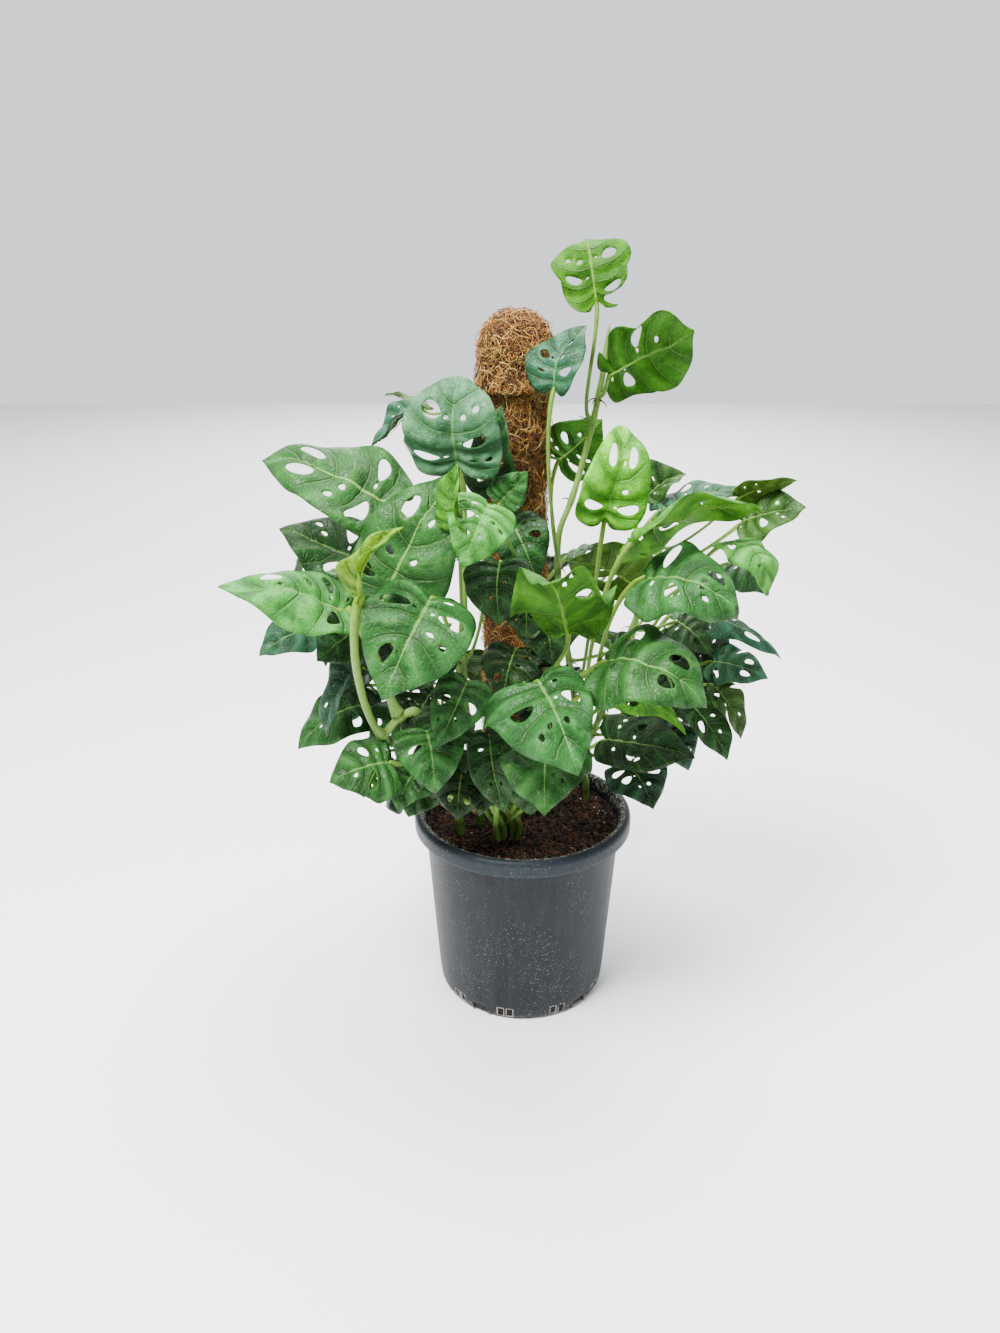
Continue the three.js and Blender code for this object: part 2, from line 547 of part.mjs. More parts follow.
// The blade: two skins a leaf's thickness apart, with a rim round the outline and
// round each hole. A hole is one cell of the grid left open.
function makeBlade(leaf, frame) {
  const rows = blade.rows;
  const lanes = blade.columns.length;
  const positions = [];
  const skins = [1, -1].map((sign) => {
    const ids = [];
    for (let row = 0; row <= rows; row += 1) {
      const u = row / rows;
      const line = [];
      for (let lane = 0; lane < lanes; lane += 1) {
        const pointed = row === 0 || row === rows;
        if (pointed && lane > 0) {
          line.push(line[0]);
          continue;
        }
        const v = pointed ? 0 : blade.columns[lane];
        const point = surfacePoint(leaf, frame, u, v);
        point.addScaledVector(surfaceNormal(leaf, frame, u, v), (sign * blade.thickness) / 2);
        line.push(positions.length / 3);
        positions.push(point.x, point.y, point.z);
      }
      ids.push(line);
    }
    return ids;
  });
  const holeLanes = { left: 1, right: lanes - 3 };
  const isOpen = (row, lane) => {
    if (row < 0 || row >= rows || lane < 0 || lane >= lanes - 1) return true;
    return ["left", "right"].some((side) => lane === holeLanes[side] && (leaf[side] ?? []).includes(row));
  };
  const triangles = [];
  const addTriangle = (a, b, c) => {
    if (a !== b && b !== c && a !== c) triangles.push(a, b, c);
  };
  const addQuad = (a, b, c, d) => {
    addTriangle(a, b, c);
    addTriangle(a, c, d);
  };
  const [top, under] = skins;
  for (let row = 0; row < rows; row += 1) {
    for (let lane = 0; lane < lanes - 1; lane += 1) {
      if (isOpen(row, lane)) continue;
      const next = lane + 1;
      addQuad(top[row][lane], top[row][next], top[row + 1][next], top[row + 1][lane]);
      addQuad(under[row][lane], under[row + 1][lane], under[row + 1][next], under[row][next]);
      const edges = [
        [row - 1, lane, [row, next], [row, lane]],
        [row + 1, lane, [row + 1, lane], [row + 1, next]],
        [row, lane - 1, [row, lane], [row + 1, lane]],
        [row, lane + 1, [row + 1, next], [row, next]],
      ];
      for (const [nearRow, nearLane, [r1, l1], [r2, l2]] of edges) {
        const atPoint = r1 === r2 && (r1 === 0 || r1 === rows);
        if (!atPoint && isOpen(nearRow, nearLane)) {
          addQuad(top[r1][l1], top[r2][l2], under[r2][l2], under[r1][l1]);
        }
      }
    }
  }
  const geometry = new THREE.BufferGeometry();
  geometry.setAttribute("position", new THREE.Float32BufferAttribute(positions, 3));
  geometry.setIndex(triangles);
  return solidFrom(geometry);
}

// The petiole leaves its stem square to it, with a gap, and rises into the base
// of the blade in line with the midrib.
function makePetiole(leaf, frame) {
  const stem = stems[leaf.vine];
  const curve = stemCurve(stem);
  const atEnd = leaf.at >= 1;
  const root = curve.getPointAt(Math.min(leaf.at, 1));
  const tangent = curve.getTangentAt(Math.min(leaf.at, 1));
  const outward = frame.base.clone().sub(root);
  if (atEnd) outward.copy(tangent);
  else outward.addScaledVector(tangent, -outward.dot(tangent)).normalize();
  const start = root.clone().addScaledVector(outward, (atEnd ? 0 : stem.radius) + petiole.gap);
  const span = start.distanceTo(frame.base);
  const leaveBy = start.clone().addScaledVector(outward, Math.min(petiole.stub, span / 3));
  const arriveFrom = frame.base.clone().addScaledVector(frame.along, -span * petiole.lead);
  arriveFrom.z -= span * petiole.rise;
  const route = new THREE.CubicBezierCurve3(start, leaveBy, arriveFrom, frame.base);
  const strip = Math.min(...blade.columns.filter((column) => column > 0));
  const midrib = surfacePoint(leaf, frame, petiole.midribShare, strip)
    .lerp(surfacePoint(leaf, frame, petiole.midribShare, -strip), 0.5);
  const square = start.clone().addScaledVector(outward, petiole.radius);
  const points = [start, square, ...route.getPoints(petiole.steps - 1).slice(1), midrib];
  const path = new THREE.CatmullRomCurve3(points, false, "centripetal");
  return bar(path, petiole.radius, petiole.sides, petiole.steps);
}

function makeLeaf(leaf) {
  const frame = leafFrame(leaf);
  return makeBlade(leaf, frame).add(makePetiole(leaf, frame));
}

// ---- the plant -------------------------------------------------------------------
const plant = new THREE.Group();
plant.add(meshOf("pot", geometryFrom(makePot()), looks.pot));
plant.add(meshOf("soil", geometryFrom(makeSoil()), looks.soil));
plant.add(meshOf("pole_core", geometryFrom(makePoleCore()), looks.core));
plant.add(meshOf("coir_sleeve", geometryFrom(makeSleeve()), looks.coir));
plant.add(meshOf("coir_cap", geometryFrom(makeCap()), looks.coir));
for (const [name, stem] of Object.entries(stems)) {
  plant.add(meshOf(`stem_${name}`, geometryFrom(stemBar(stem, 0)), looks.stem));
}
plant.add(meshOf("dry_stem", geometryFrom(stemBar(dryStem, 0)), looks.dryStem));
for (const leaf of leaves) {
  plant.add(meshOf(`leaf_${leaf.name}`, geometryFrom(makeLeaf(leaf)), looks.leaf));
}

export default plant;
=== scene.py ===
"""A potted swiss cheese vine on a coir pole: the finished surfaces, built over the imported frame.

Lengths are written in millimetres and turned into metres where a mesh is made.
"""
import math
import random
from dataclasses import dataclass

import bmesh
import bpy
import numpy as np
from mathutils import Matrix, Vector, noise
from mathutils.geometry import delaunay_2d_cdt


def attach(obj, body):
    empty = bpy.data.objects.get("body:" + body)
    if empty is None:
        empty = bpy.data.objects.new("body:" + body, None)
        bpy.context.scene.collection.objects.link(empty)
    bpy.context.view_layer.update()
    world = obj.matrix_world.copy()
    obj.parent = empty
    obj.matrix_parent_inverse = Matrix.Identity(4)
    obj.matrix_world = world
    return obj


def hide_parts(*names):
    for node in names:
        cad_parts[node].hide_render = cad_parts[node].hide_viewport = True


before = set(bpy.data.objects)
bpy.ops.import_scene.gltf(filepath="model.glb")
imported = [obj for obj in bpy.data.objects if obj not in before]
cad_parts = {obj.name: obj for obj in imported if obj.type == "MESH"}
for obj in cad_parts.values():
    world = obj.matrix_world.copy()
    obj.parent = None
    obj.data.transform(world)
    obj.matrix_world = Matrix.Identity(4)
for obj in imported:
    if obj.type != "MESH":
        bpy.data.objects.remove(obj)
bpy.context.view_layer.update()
MM = 0.001

# ---- sizes shared with the solid model, in millimetres ---------------------------
POT = dict(height=217, rim_radius=120, rim_band=18, mouth_radius=108, base_radius=94, wall=2.2, floor=3,
           foot_round=8)
DRAIN = dict(count=5, first_angle=-120, width=17, height=12, start=42, pair_offset=18, slot_width=6.5,
             slot_height=11, slot_sill=4, slot_spread=3.1)
SOIL_TOP = POT["height"] - 16
SOIL_CROWN = 3
SOIL_GAP = 0.4  # between the potting mix and the pot
POLE = dict(x=-10, y=28, sleeve_radius=32, sleeve_foot=150, cap_foot=662, cap_radius=35, top=733,
            dome_share=0.8, bindings=4, binding_depth=1.2)
PETIOLE = dict(stub=14, rise=0.15, lead=0.2)
VEIN_SWEEP = 2.2  # how steeply the side veins run towards the tip
OUTLINE = [(0, 0), (0.34, -0.09), (0.8, -0.03), (1, 0.17), (0.97, 0.36), (0.8, 0.56), (0.52, 0.76),
           (0.2, 0.91), (0, 1)]
ROWS = 6  # side veins on each half of a leaf

STEMS = {
    "front": (4.5, [(-14, -22, 150), (-10, -26, 205), (0, -42, 300), (8, -56, 400), (6, -56, 480),
                    (-6, -42, 545)]),
    "left": (4.2, [(-44, -16, 150), (-46, -22, 205), (-56, -40, 300), (-62, -50, 400), (-60, -40, 500),
                   (-62, -22, 590), (-72, -5, 650)]),
    "right": (3.6, [(75, 42, 150), (75, 42, 205), (62, 22, 300), (46, -4, 400), (34, -14, 480),
                    (34, -12, 530), (46, 0, 560), (60, 8, 610), (72, 8, 670), (78, 8, 725)]),
    "low_left": (4.8, [(-66, -30, 150), (-68, -36, 210), (-78, -66, 300), (-92, -94, 355), (-108, -108, 378),
                       (-126, -112, 368), (-140, -112, 348)]),
    "rear_right": (4.0, [(58, 70, 150), (60, 72, 205), (92, 70, 300), (120, 60, 400), (136, 50, 470),
                         (150, 40, 520)]),
    "rear_left": (4.0, [(-60, 66, 150), (-64, 66, 205), (-92, 50, 300), (-112, 34, 390), (-128, 20, 470),
                        (-136, 10, 520)]),
    "rear": (4.0, [(0, 78, 150), (0, 80, 205), (8, 88, 320), (4, 90, 440), (-4, 86, 560), (-8, 78, 660)]),
}
DRY_STEM = (2.6, [(-40, -6, 178), (-50, 2, 203), (-76, 13, 217), (-104, 22, 225), (-126, 30, 229)])

# Upper and under colour of a leaf, linear RGB.
TONES = {
    "mature": ((0.018, 0.105, 0.016), (0.042, 0.180, 0.010)),
    "blue": ((0.017, 0.088, 0.040), (0.042, 0.135, 0.036)),
    # dark: partly the leaves' own deep green and partly painted shade, near black, for the leaves deep
    # inside and low in the plant
    "dark": ((0.007, 0.046, 0.007), (0.024, 0.090, 0.006)),
    "bright": ((0.095, 0.360, 0.014), (0.095, 0.330, 0.005)),
    "fresh": ((0.048, 0.215, 0.008), (0.055, 0.235, 0.004)),
    "sunlit": ((0.028, 0.128, 0.001), (0.027, 0.125, 0.001)),
    "glossy": ((0.030, 0.135, 0.007), (0.036, 0.150, 0.004)),
    "lime": ((0.120, 0.280, 0.003), (0.110, 0.270, 0.003)),
    "light": ((0.042, 0.215, 0.026), (0.075, 0.260, 0.010)),
    "olive": ((0.032, 0.098, 0.013), (0.060, 0.150, 0.012)),
    # grey: a paler, bluer green, partly the leaf's own colour and partly a painted sheen of the bright sky
    "grey": ((0.055, 0.175, 0.072), (0.075, 0.180, 0.045)),
}
PETIOLE_TONE = (0.165, 0.320, 0.022)
STEM_TONE = (0.140, 0.270, 0.055)
ROOT_TONE = (0.045, 0.022, 0.012)
DRY_TONE = (0.560, 0.350, 0.130)
WRAP_TONE = (0.105, 0.046, 0.018)
CRUMB_TONES = [(0.008, 0.004, 0.003), (0.022, 0.009, 0.005), (0.060, 0.020, 0.010), (0.120, 0.045, 0.020),
               (0.004, 0.003, 0.003), (0.035, 0.012, 0.007), (0.006, 0.004, 0.003)]


# ---- curves ------------------------------------------------------------------------
def catmull(points, count):
    """Points at even arc length along a centripetal Catmull-Rom curve, as the stems are bent."""
    knots = [np.array(point, float) for point in points]
    knots = [2 * knots[0] - knots[1]] + knots + [2 * knots[-1] - knots[-2]]
    dense = []
    for index in range(1, len(knots) - 2):
        p0, p1, p2, p3 = knots[index - 1:index + 3]
        d0, d1, d2 = (np.linalg.norm(b - a) ** 0.5 for a, b in ((p0, p1), (p1, p2), (p2, p3)))
        m1 = ((p1 - p0) / d0 - (p2 - p0) / (d0 + d1) + (p2 - p1) / d1) * d1
        m2 = ((p2 - p1) / d1 - (p3 - p1) / (d1 + d2) + (p3 - p2) / d2) * d1
        for t in np.linspace(0, 1, 40, endpoint=False):
            dense.append(p1 + m1 * t + (3 * (p2 - p1) - 2 * m1 - m2) * t ** 2
                         + (2 * (p1 - p2) + m1 + m2) * t ** 3)
    dense.append(knots[-2])
    return even_steps(np.array(dense), count)


def even_steps(dense, count):
    lengths = np.concatenate([[0], np.cumsum(np.linalg.norm(np.diff(dense, axis=0), axis=1))])
    at = np.linspace(0, lengths[-1], count)
    return np.stack([np.interp(at, lengths, dense[:, axis]) for axis in range(3)], axis=1)


def bezier(p0, p1, p2, p3, count):
    t = np.linspace(0, 1, count)[:, None]
    return (1 - t) ** 3 * p0 + 3 * (1 - t) ** 2 * t * p1 + 3 * (1 - t) * t ** 2 * p2 + t ** 3 * p3


def unit(vector):
    return vector / np.linalg.norm(vector)


def polar(radius, angle):
    return radius * math.cos(angle), radius * math.sin(angle)


def turns(count):
    """Angles evenly round a circle."""
    return [2 * math.pi * k / count for k in range(count)]


# ---- mesh making ---------------------------------------------------------------------
class Mesh:
    """Vertices in millimetres, faces, and for each vertex a tone and a (u, v) place."""

    def __init__(self):
        self.vertices = []
        self.faces = []
        self.slots = []
        self.tones = []
        self.places = []

    def add(self, vertices, faces, tone, slot=0, places=None):
        start = len(self.vertices)
        self.vertices.extend(map(tuple, vertices))
        self.faces.extend(tuple(start + i for i in face) for face in faces)
        self.slots.extend([slot] * len(faces))
        tones = [tone] * len(vertices) if np.ndim(tone) == 1 else list(map(tuple, tone))
        self.tones.extend(tones)
        self.places.extend(map(tuple, places) if places is not None else [(0.0, 0.0)] * len(vertices))

    def build(self, name, materials):
        mesh = bpy.data.meshes.new(name)
        mesh.from_pydata([(x * MM, y * MM, z * MM) for x, y, z in self.vertices], [], self.faces)
        mesh.polygons.foreach_set("use_smooth", [True] * len(self.faces))
        mesh.polygons.foreach_set("material_index", self.slots)
        tone = mesh.color_attributes.new("tone", "FLOAT_COLOR", "POINT")
        tone.data.foreach_set("color", np.array([(*c[:3], 1.0) for c in self.tones]).ravel())
        layer = mesh.uv_layers.new(name="place")
        corner_vertices = np.empty(len(mesh.loops), int)
        mesh.loops.foreach_get("vertex_index", corner_vertices)
        layer.data.foreach_set("uv", np.array(self.places, float)[corner_vertices].ravel())
        for material in materials:
            mesh.materials.append(material)
        mesh.update()
        return stand(name, mesh)


def ring_faces(rings, around, first=0):
    """Quads between rings of vertices that follow each other."""
    faces = []
    for ring in range(rings - 1):
        for k in range(around):
            a = first + ring * around + k
            b = first + ring * around + (k + 1) % around
            faces.append((a, b, b + around, a + around))
    return faces


def capped_rings(rings, around):
    """The quads between the rings, and a face at each end."""
    ends = [tuple(reversed(range(around))), tuple((rings - 1) * around + k for k in range(around))]
    return ring_faces(rings, around) + ends


def tube(path, radii, sides):
    """A round tube along a path: its vertices and faces. Frames are carried along without twist."""
    path = np.asarray(path, float)
    tangents = np.gradient(path, axis=0)
    tangents /= np.linalg.norm(tangents, axis=1)[:, None] + 1e-12
    helper = np.array([0.0, 0.0, 1.0]) if abs(tangents[0][2]) < 0.9 else np.array([1.0, 0.0, 0.0])
    side = unit(np.cross(tangents[0], helper))
    vertices = []
    angles = np.linspace(0, 2 * math.pi, sides, endpoint=False)
    for spot, tangent, radius in zip(path, tangents, np.broadcast_to(radii, len(path))):
        side = unit(side - (side @ tangent) * tangent)
        other = np.cross(tangent, side)
        for angle in angles:
            vertices.append(spot + radius * (math.cos(angle) * side + math.sin(angle) * other))
    return np.array(vertices), capped_rings(len(path), sides)


def stand(name, data):
    """A new object in the scene."""
    made = bpy.data.objects.new(name, data)
    bpy.context.scene.collection.objects.link(made)
    return made


def hand_over(piece, node=None):
    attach(piece, "root")
    if node:
        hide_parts(node)


# ---- material making -----------------------------------------------------------------
class Nodes:
    """Short names for building a node material."""

    def __init__(self, name):
        self.material = bpy.data.materials.new(name)
        self.material.use_nodes = True
        self.tree = self.material.node_tree
        self.shader = self.tree.nodes["Principled BSDF"]

    def node(self, kind, inputs=None, **settings):
        made = self.tree.nodes.new(kind)
        for key, value in settings.items():
            setattr(made, key, value)
        for key, value in (inputs or {}).items():
            self.put(made.inputs[key], value)
        return made

    def put(self, socket, value):
        if isinstance(value, bpy.types.NodeSocket):
            self.tree.links.new(value, socket)
        else:
            socket.default_value = value

    def math(self, operation, a, b=0.0, c=0.0, clamp=False):
        made = self.node("ShaderNodeMath", {0: a, 1: b, 2: c}, operation=operation, use_clamp=clamp)
        return made.outputs[0]

    def times(self, a, b):
        return self.math("MULTIPLY", a, b)

    def plus(self, a, b):
        return self.math("ADD", a, b)

    def band(self, value, low, high, out_low=0.0, out_high=1.0):
        made = self.node("ShaderNodeMapRange", {
            "Value": value, "From Min": low, "From Max": high, "To Min": out_low, "To Max": out_high,
        }, interpolation_type="SMOOTHSTEP")
        return made.outputs["Result"]

    def mix(self, factor, a, b, blend="MIX"):
        made = self.node("ShaderNodeMix", data_type="RGBA", blend_type=blend)
        self.put(made.inputs["Factor"], factor)
        self.put(made.inputs[6], a)
        self.put(made.inputs[7], b)
        return made.outputs[2]

    def tint(self, color, mask, share, paint):
        """The colour with `paint` over it, by a share of the mask."""
        return self.mix(self.times(mask, share), color, paint)

    def shaded(self, *factors):
        """The piece's own tone, multiplied channel by channel."""
        return self.mix(1.0, self.tone, rgb(*factors), "MULTIPLY")

    def noise(self, coordinates, scale, detail=3.0, roughness=0.5):
        made = self.node("ShaderNodeTexNoise", {
            "Vector": coordinates, "Scale": scale, "Detail": detail, "Roughness": roughness,
        })
        return made.outputs["Fac"]

    def cells(self, coordinates, scale, feature="F1"):
        made = self.node("ShaderNodeTexVoronoi", {"Vector": coordinates, "Scale": scale}, feature=feature)
        return made.outputs["Distance"]

    def stretched(self, coordinates, scale):
        made = self.node("ShaderNodeMapping", {"Vector": coordinates, "Scale": scale})
        return made.outputs["Vector"]

    def bump(self, height, strength, distance):
        made = self.node("ShaderNodeBump", {"Height": height, "Strength": strength, "Distance": distance})
        return made.outputs["Normal"]

    def finish(self, color, roughness, normal=None):
        self.put(self.shader.inputs["Base Color"], color)
        self.put(self.shader.inputs["Roughness"], roughness)
        if normal is not None:
            self.put(self.shader.inputs["Normal"], normal)
        return self.material

    @property
    def here(self):
        return self.node("ShaderNodeTexCoord").outputs["Object"]

    @property
    def tone(self):
        return self.node("ShaderNodeAttribute", attribute_name="tone").outputs["Color"]


def rgb(*values):
    return (*values, 1.0)


def leaf_material(name, upper):
    """Leaf skin: pale midrib and side veins, a fine net between them, mottling and dust specks, with a
    painted highlight on the swelling between the side veins and painted shade in the grooves along them.
    """
    n = Nodes(name)
    place = n.node("ShaderNodeUVMap", uv_map="place")
    split = n.node("ShaderNodeSeparateXYZ", {0: place.outputs[0]})
    along = split.outputs[0]
    side = n.math("ABSOLUTE", n.math("MULTIPLY_ADD", split.outputs[1], 2.0, -1.0))
    here = n.here
    wobble = n.math("MULTIPLY_ADD", n.noise(here, 60.0, 2.0), 0.16, -0.08)
    row = n.plus(n.times(along, float(ROWS)), wobble)
    to_vein = n.math("PINGPONG", row, 0.5)
    veins = n.times(n.band(to_vein, 0.060, 0.010), n.band(side, 1.0, 0.35, 0.15, 1.0))
    half_vein = n.math("PINGPONG", n.plus(row, 0.5), 0.5)
    small_veins = n.times(n.band(half_vein, 0.06, 0.01), 0.35)
    midrib = n.band(side, 0.045, 0.012)
    net = n.band(n.cells(here, 210.0, "DISTANCE_TO_EDGE"), 0.10, 0.0)
    mottle = n.noise(here, 34.0, 4.0, 0.6)
    # a darker copy of the tone: used for the mottling, and as painted shade in the vein grooves
    darker = n.shaded(0.30, 0.42, 0.32)
    # painted highlight: a paler, bluer copy of the leaf's tone
    painted_highlight = n.shaded(2.1, 1.70, 2.1)
    highlit_swelling = n.times(n.band(to_vein, 0.10, 0.42), n.band(n.noise(here, 75.0, 3.0), 0.36, 0.60))
    vein_color = n.mix(0.40 if upper else 0.45, n.tone, rgb(0.24, 0.42, 0.10))
    color = n.mix(n.band(mottle, 0.38, 0.66), n.tone, darker)
    # painted highlight on the swelling between two side veins, where the light falls on it
    color = n.tint(color, highlit_swelling, 0.70 if upper else 0.45, painted_highlight)
    # painted shade in the grooves along the side veins
    color = n.tint(color, n.band(to_vein, 0.17, 0.05), 0.40, darker)
    color = n.tint(color, net, 0.10 if upper else 0.12, vein_color)
    color = n.tint(color, small_veins, 0.6, vein_color)
    color = n.tint(color, veins, 0.32 if upper else 0.40, vein_color)
    color = n.tint(color, midrib, 0.6, rgb(0.20, 0.38, 0.08))
    specks = n.times(n.band(n.cells(here, 360.0), 0.17, 0.08), n.band(n.noise(here, 22.0, 2.0), 0.52, 0.66))
    dust = n.times(specks, 0.45 if upper else 0.15)
    color = n.mix(dust, color, rgb(0.42, 0.52, 0.40))
    rough = n.math("MULTIPLY_ADD", mottle, 0.22, 0.29 if upper else 0.45)
    rough = n.plus(rough, n.times(dust, 0.25))
    relief = n.times(n.plus(veins, n.times(net, 0.22)), -1.0 if upper else 1.0)
    relief = n.plus(relief, n.times(n.noise(here, 420.0, 2.0), 0.30))
    n.shader.inputs["Specular IOR Level"].default_value = 0.17 if upper else 0.12
    return n.finish(color, rough, n.bump(relief, 1.0, 0.0014))


def stem_material():
    n = Nodes("stem_skin")
    here = n.here
    streaks = n.noise(n.stretched(here, (900.0, 900.0, 60.0)), 1.0, 3.0)
    spots = n.band(n.cells(here, 420.0), 0.22, 0.10)
    color = n.mix(n.band(streaks, 0.4, 0.65), n.tone, n.shaded(0.66, 0.72, 0.6))
    color = n.tint(color, spots, 0.25, rgb(0.42, 0.46, 0.30))
    rough = n.math("MULTIPLY_ADD", streaks, 0.2, 0.30)
    n.shader.inputs["Specular IOR Level"].default_value = 0.22
    return n.finish(color, rough, n.bump(streaks, 0.35, 0.0006))


def fibre_material(name, roughness):
    n = Nodes(name)
    grain = n.noise(n.here, 900.0, 2.0)
    color = n.mix(n.band(grain, 0.35, 0.7), n.tone, n.shaded(0.6, 0.55, 0.5))
    return n.finish(color, roughness, n.bump(grain, 0.4, 0.0004))


def soil_material():
    n = Nodes("potting_mix_surface")
    here = n.here
    lumps = n.noise(here, 130.0, 6.0, 0.65)
    color = n.mix(n.band(lumps, 0.35, 0.68), rgb(0.004, 0.0025, 0.002), rgb(0.030, 0.012, 0.007))
    return n.finish(color, 0.92, n.bump(lumps, 0.9, 0.003))


def slot_frames(n, split):
    """Where the pale rims of the drain slots lie: a thin band round each slot."""
    turn = n.math("ARCTAN2", split.outputs[1], split.outputs[0])
    period = 2 * math.pi / DRAIN["count"]
    from_channel = n.math("SUBTRACT", turn, math.radians(DRAIN["first_angle"]))
    to_channel = n.math("PINGPONG", from_channel, period / 2)
    to_pair = n.math("ABSOLUTE", n.math("SUBTRACT", to_channel, math.radians(DRAIN["pair_offset"])))
    to_slot = n.math("ABSOLUTE", n.math("SUBTRACT", to_pair, math.radians(DRAIN["slot_spread"])))
    half = DRAIN["slot_height"] * MM / 2
    level = n.math("ABSOLUTE", n.math("SUBTRACT", split.outputs[2], DRAIN["slot_sill"] * MM + half))
    return n.times(n.band(to_slot, math.radians(2.7), math.radians(2.4)),
                   n.band(level, half + 0.0013, half + 0.0007))


def pot_material():
    """Blue-grey moulded plastic: faint vertical streaks, scuffs, specks, a pale fibrous rim edge and a
    painted bluish highlight over the rolled rim.
    """
    n = Nodes("pot_plastic")
    here = n.here
    split = n.node("ShaderNodeSeparateXYZ", {0: here})
    height = split.outputs[2]
    level_spot = n.node("ShaderNodeCombineXYZ", {0: split.outputs[0], 1: split.outputs[1]}).outputs[0]
    radius = n.node("ShaderNodeVectorMath", {0: level_spot}, operation="LENGTH").outputs["Value"]
    streaks = n.noise(n.stretched(here, (90.0, 90.0, 7.0)), 1.0, 4.0, 0.6)
    cloud = n.noise(here, 22.0, 4.0, 0.6)
    color = n.mix(n.band(streaks, 0.30, 0.72), rgb(0.0070, 0.0085, 0.0120), rgb(0.0120, 0.0145, 0.0185))
    color = n.tint(color, n.band(cloud, 0.45, 0.75), 0.35, rgb(0.024, 0.028, 0.033))
    # painted highlight: the rolled rim, from its foot up, a lighter and bluer grey
    color = n.tint(color, n.band(height, 0.196, 0.199), 0.45, rgb(0.022, 0.033, 0.042))
    fine_specks = n.band(n.cells(here, 460.0), 0.20, 0.09)
    specks = n.math("MAXIMUM", n.band(n.cells(here, 210.0), 0.17, 0.06), fine_specks)
    scratches = n.band(n.noise(n.stretched(here, (700.0, 700.0, 260.0)), 1.0, 5.0, 0.8), 0.60, 0.68)
    scuffed = n.band(n.noise(here, 16.0, 3.0), 0.40, 0.56)
    grime = n.times(n.math("MAXIMUM", specks, n.times(scratches, 0.7)), scuffed)
    color = n.tint(color, grime, 0.50, rgb(0.24, 0.27, 0.29))
    color = n.tint(color, n.band(specks, 0.6, 1.0), 0.30, rgb(0.20, 0.23, 0.25))
    lip = n.times(n.band(radius, 0.1150, 0.1118), n.band(height, 0.203, 0.210))
    frayed = n.times(lip, n.band(n.noise(here, 230.0, 5.0, 0.75), 0.49, 0.58))
    color = n.tint(color, frayed, 0.75, rgb(0.55, 0.50, 0.42))
    framed = n.times(slot_frames(n, split), n.band(n.noise(here, 320.0, 3.0), 0.36, 0.52))
    color = n.tint(color, framed, 0.75, rgb(0.36, 0.36, 0.33))
    foot = n.times(n.band(height, 0.016, 0.002), n.band(n.noise(here, 190.0, 4.0, 0.7), 0.55, 0.66))
    color = n.tint(color, foot, 0.55, rgb(0.45, 0.45, 0.42))
    rough = n.math("MULTIPLY_ADD", cloud, 0.22, 0.34)
    rough = n.plus(rough, n.times(grime, 0.3))
    relief = n.plus(n.times(streaks, 0.6), n.times(n.noise(here, 650.0, 3.0), 0.25))
    n.shader.inputs["Specular IOR Level"].default_value = 0.15
    return n.finish(color, rough, n.bump(n.plus(relief, grime), 0.25, 0.0008))


def grain_material(name, low, high, scale, roughness):
    n = Nodes(name)
    grain = n.noise(n.here, scale, 4.0, 0.6)
    return n.finish(n.mix(n.band(grain, 0.35, 0.68), rgb(*low), rgb(*high)), roughness,
                    n.bump(grain, 0.4, 0.0008))


LEAF_UPPER = leaf_material("leaf_upper", True)
LEAF_UNDER = leaf_material("leaf_under", False)
STEM_SKIN = stem_material()
COIR = fibre_material("coir_fibre", 0.85)
SOIL_SURFACE = soil_material()
SOIL_BITS = fibre_material("soil_bits", 0.9)
PERLITE = grain_material("perlite", (0.55, 0.53, 0.48), (0.80, 0.79, 0.75), 900.0, 0.8)
POT_PLASTIC = pot_material()
CORE_TUBE = grain_material("core_tube", (0.17, 0.12, 0.07), (0.24, 0.18, 0.11), 120.0, 0.6)


# ---- leaves ----------------------------------------------------------------------------
def outline_at(u):
    """Half outline of a leaf at u, from the notch to the tip, as shares of half width and length."""
    spans = len(OUTLINE) - 1
    place = min(u * spans, spans - 1e-9)
    index = int(place)
    part = place - index

    def knot(i):
        if i < 0:
            return 2 * np.array(OUTLINE[0], float) - np.array(OUTLINE[1])
        if i > spans:
            return 2 * np.array(OUTLINE[spans], float) - np.array(OUTLINE[spans - 1])
        return np.array(OUTLINE[i], float)

    a, b, c, d = (knot(index + shift) for shift in (-1, 0, 1, 2))
    return 0.5 * (2 * b + (c - a) * part + (2 * a - 5 * b + 4 * c - d) * part ** 2
                  + (3 * b - a - 3 * c + d) * part ** 3)


OUTLINE_STEPS = 400
OUTLINE_TABLE = np.array([outline_at(u) for u in np.linspace(0, 1, OUTLINE_STEPS + 1)])


def edge_at(u):
    """The half outline at u, read between the places of the table."""
    spot = min(max(u, 0), 1) * OUTLINE_STEPS
    low = min(int(spot), OUTLINE_STEPS - 1)
    return OUTLINE_TABLE[low] + (OUTLINE_TABLE[low + 1] - OUTLINE_TABLE[low]) * (spot - low)


LEAF_THICKNESS = 0.7
FULLNESS = 1.1  # the drawn blades are rounder than the solid ones
CURL_FROM = 0.45  # where along the midrib a curled tip begins to turn down
LAST_HOLED_ROW = 4  # the row nearest the tip has no hole
SPACING = 1.3  # least distance between two inner vertices of a blade
# Relief of a blade, as shares of its width.
QUILTING = 0.070  # swelling between two side veins
MIDRIB_GROOVE = 0.022
WAVES = 0.075  # along the margin
UNEVENNESS = 0.08


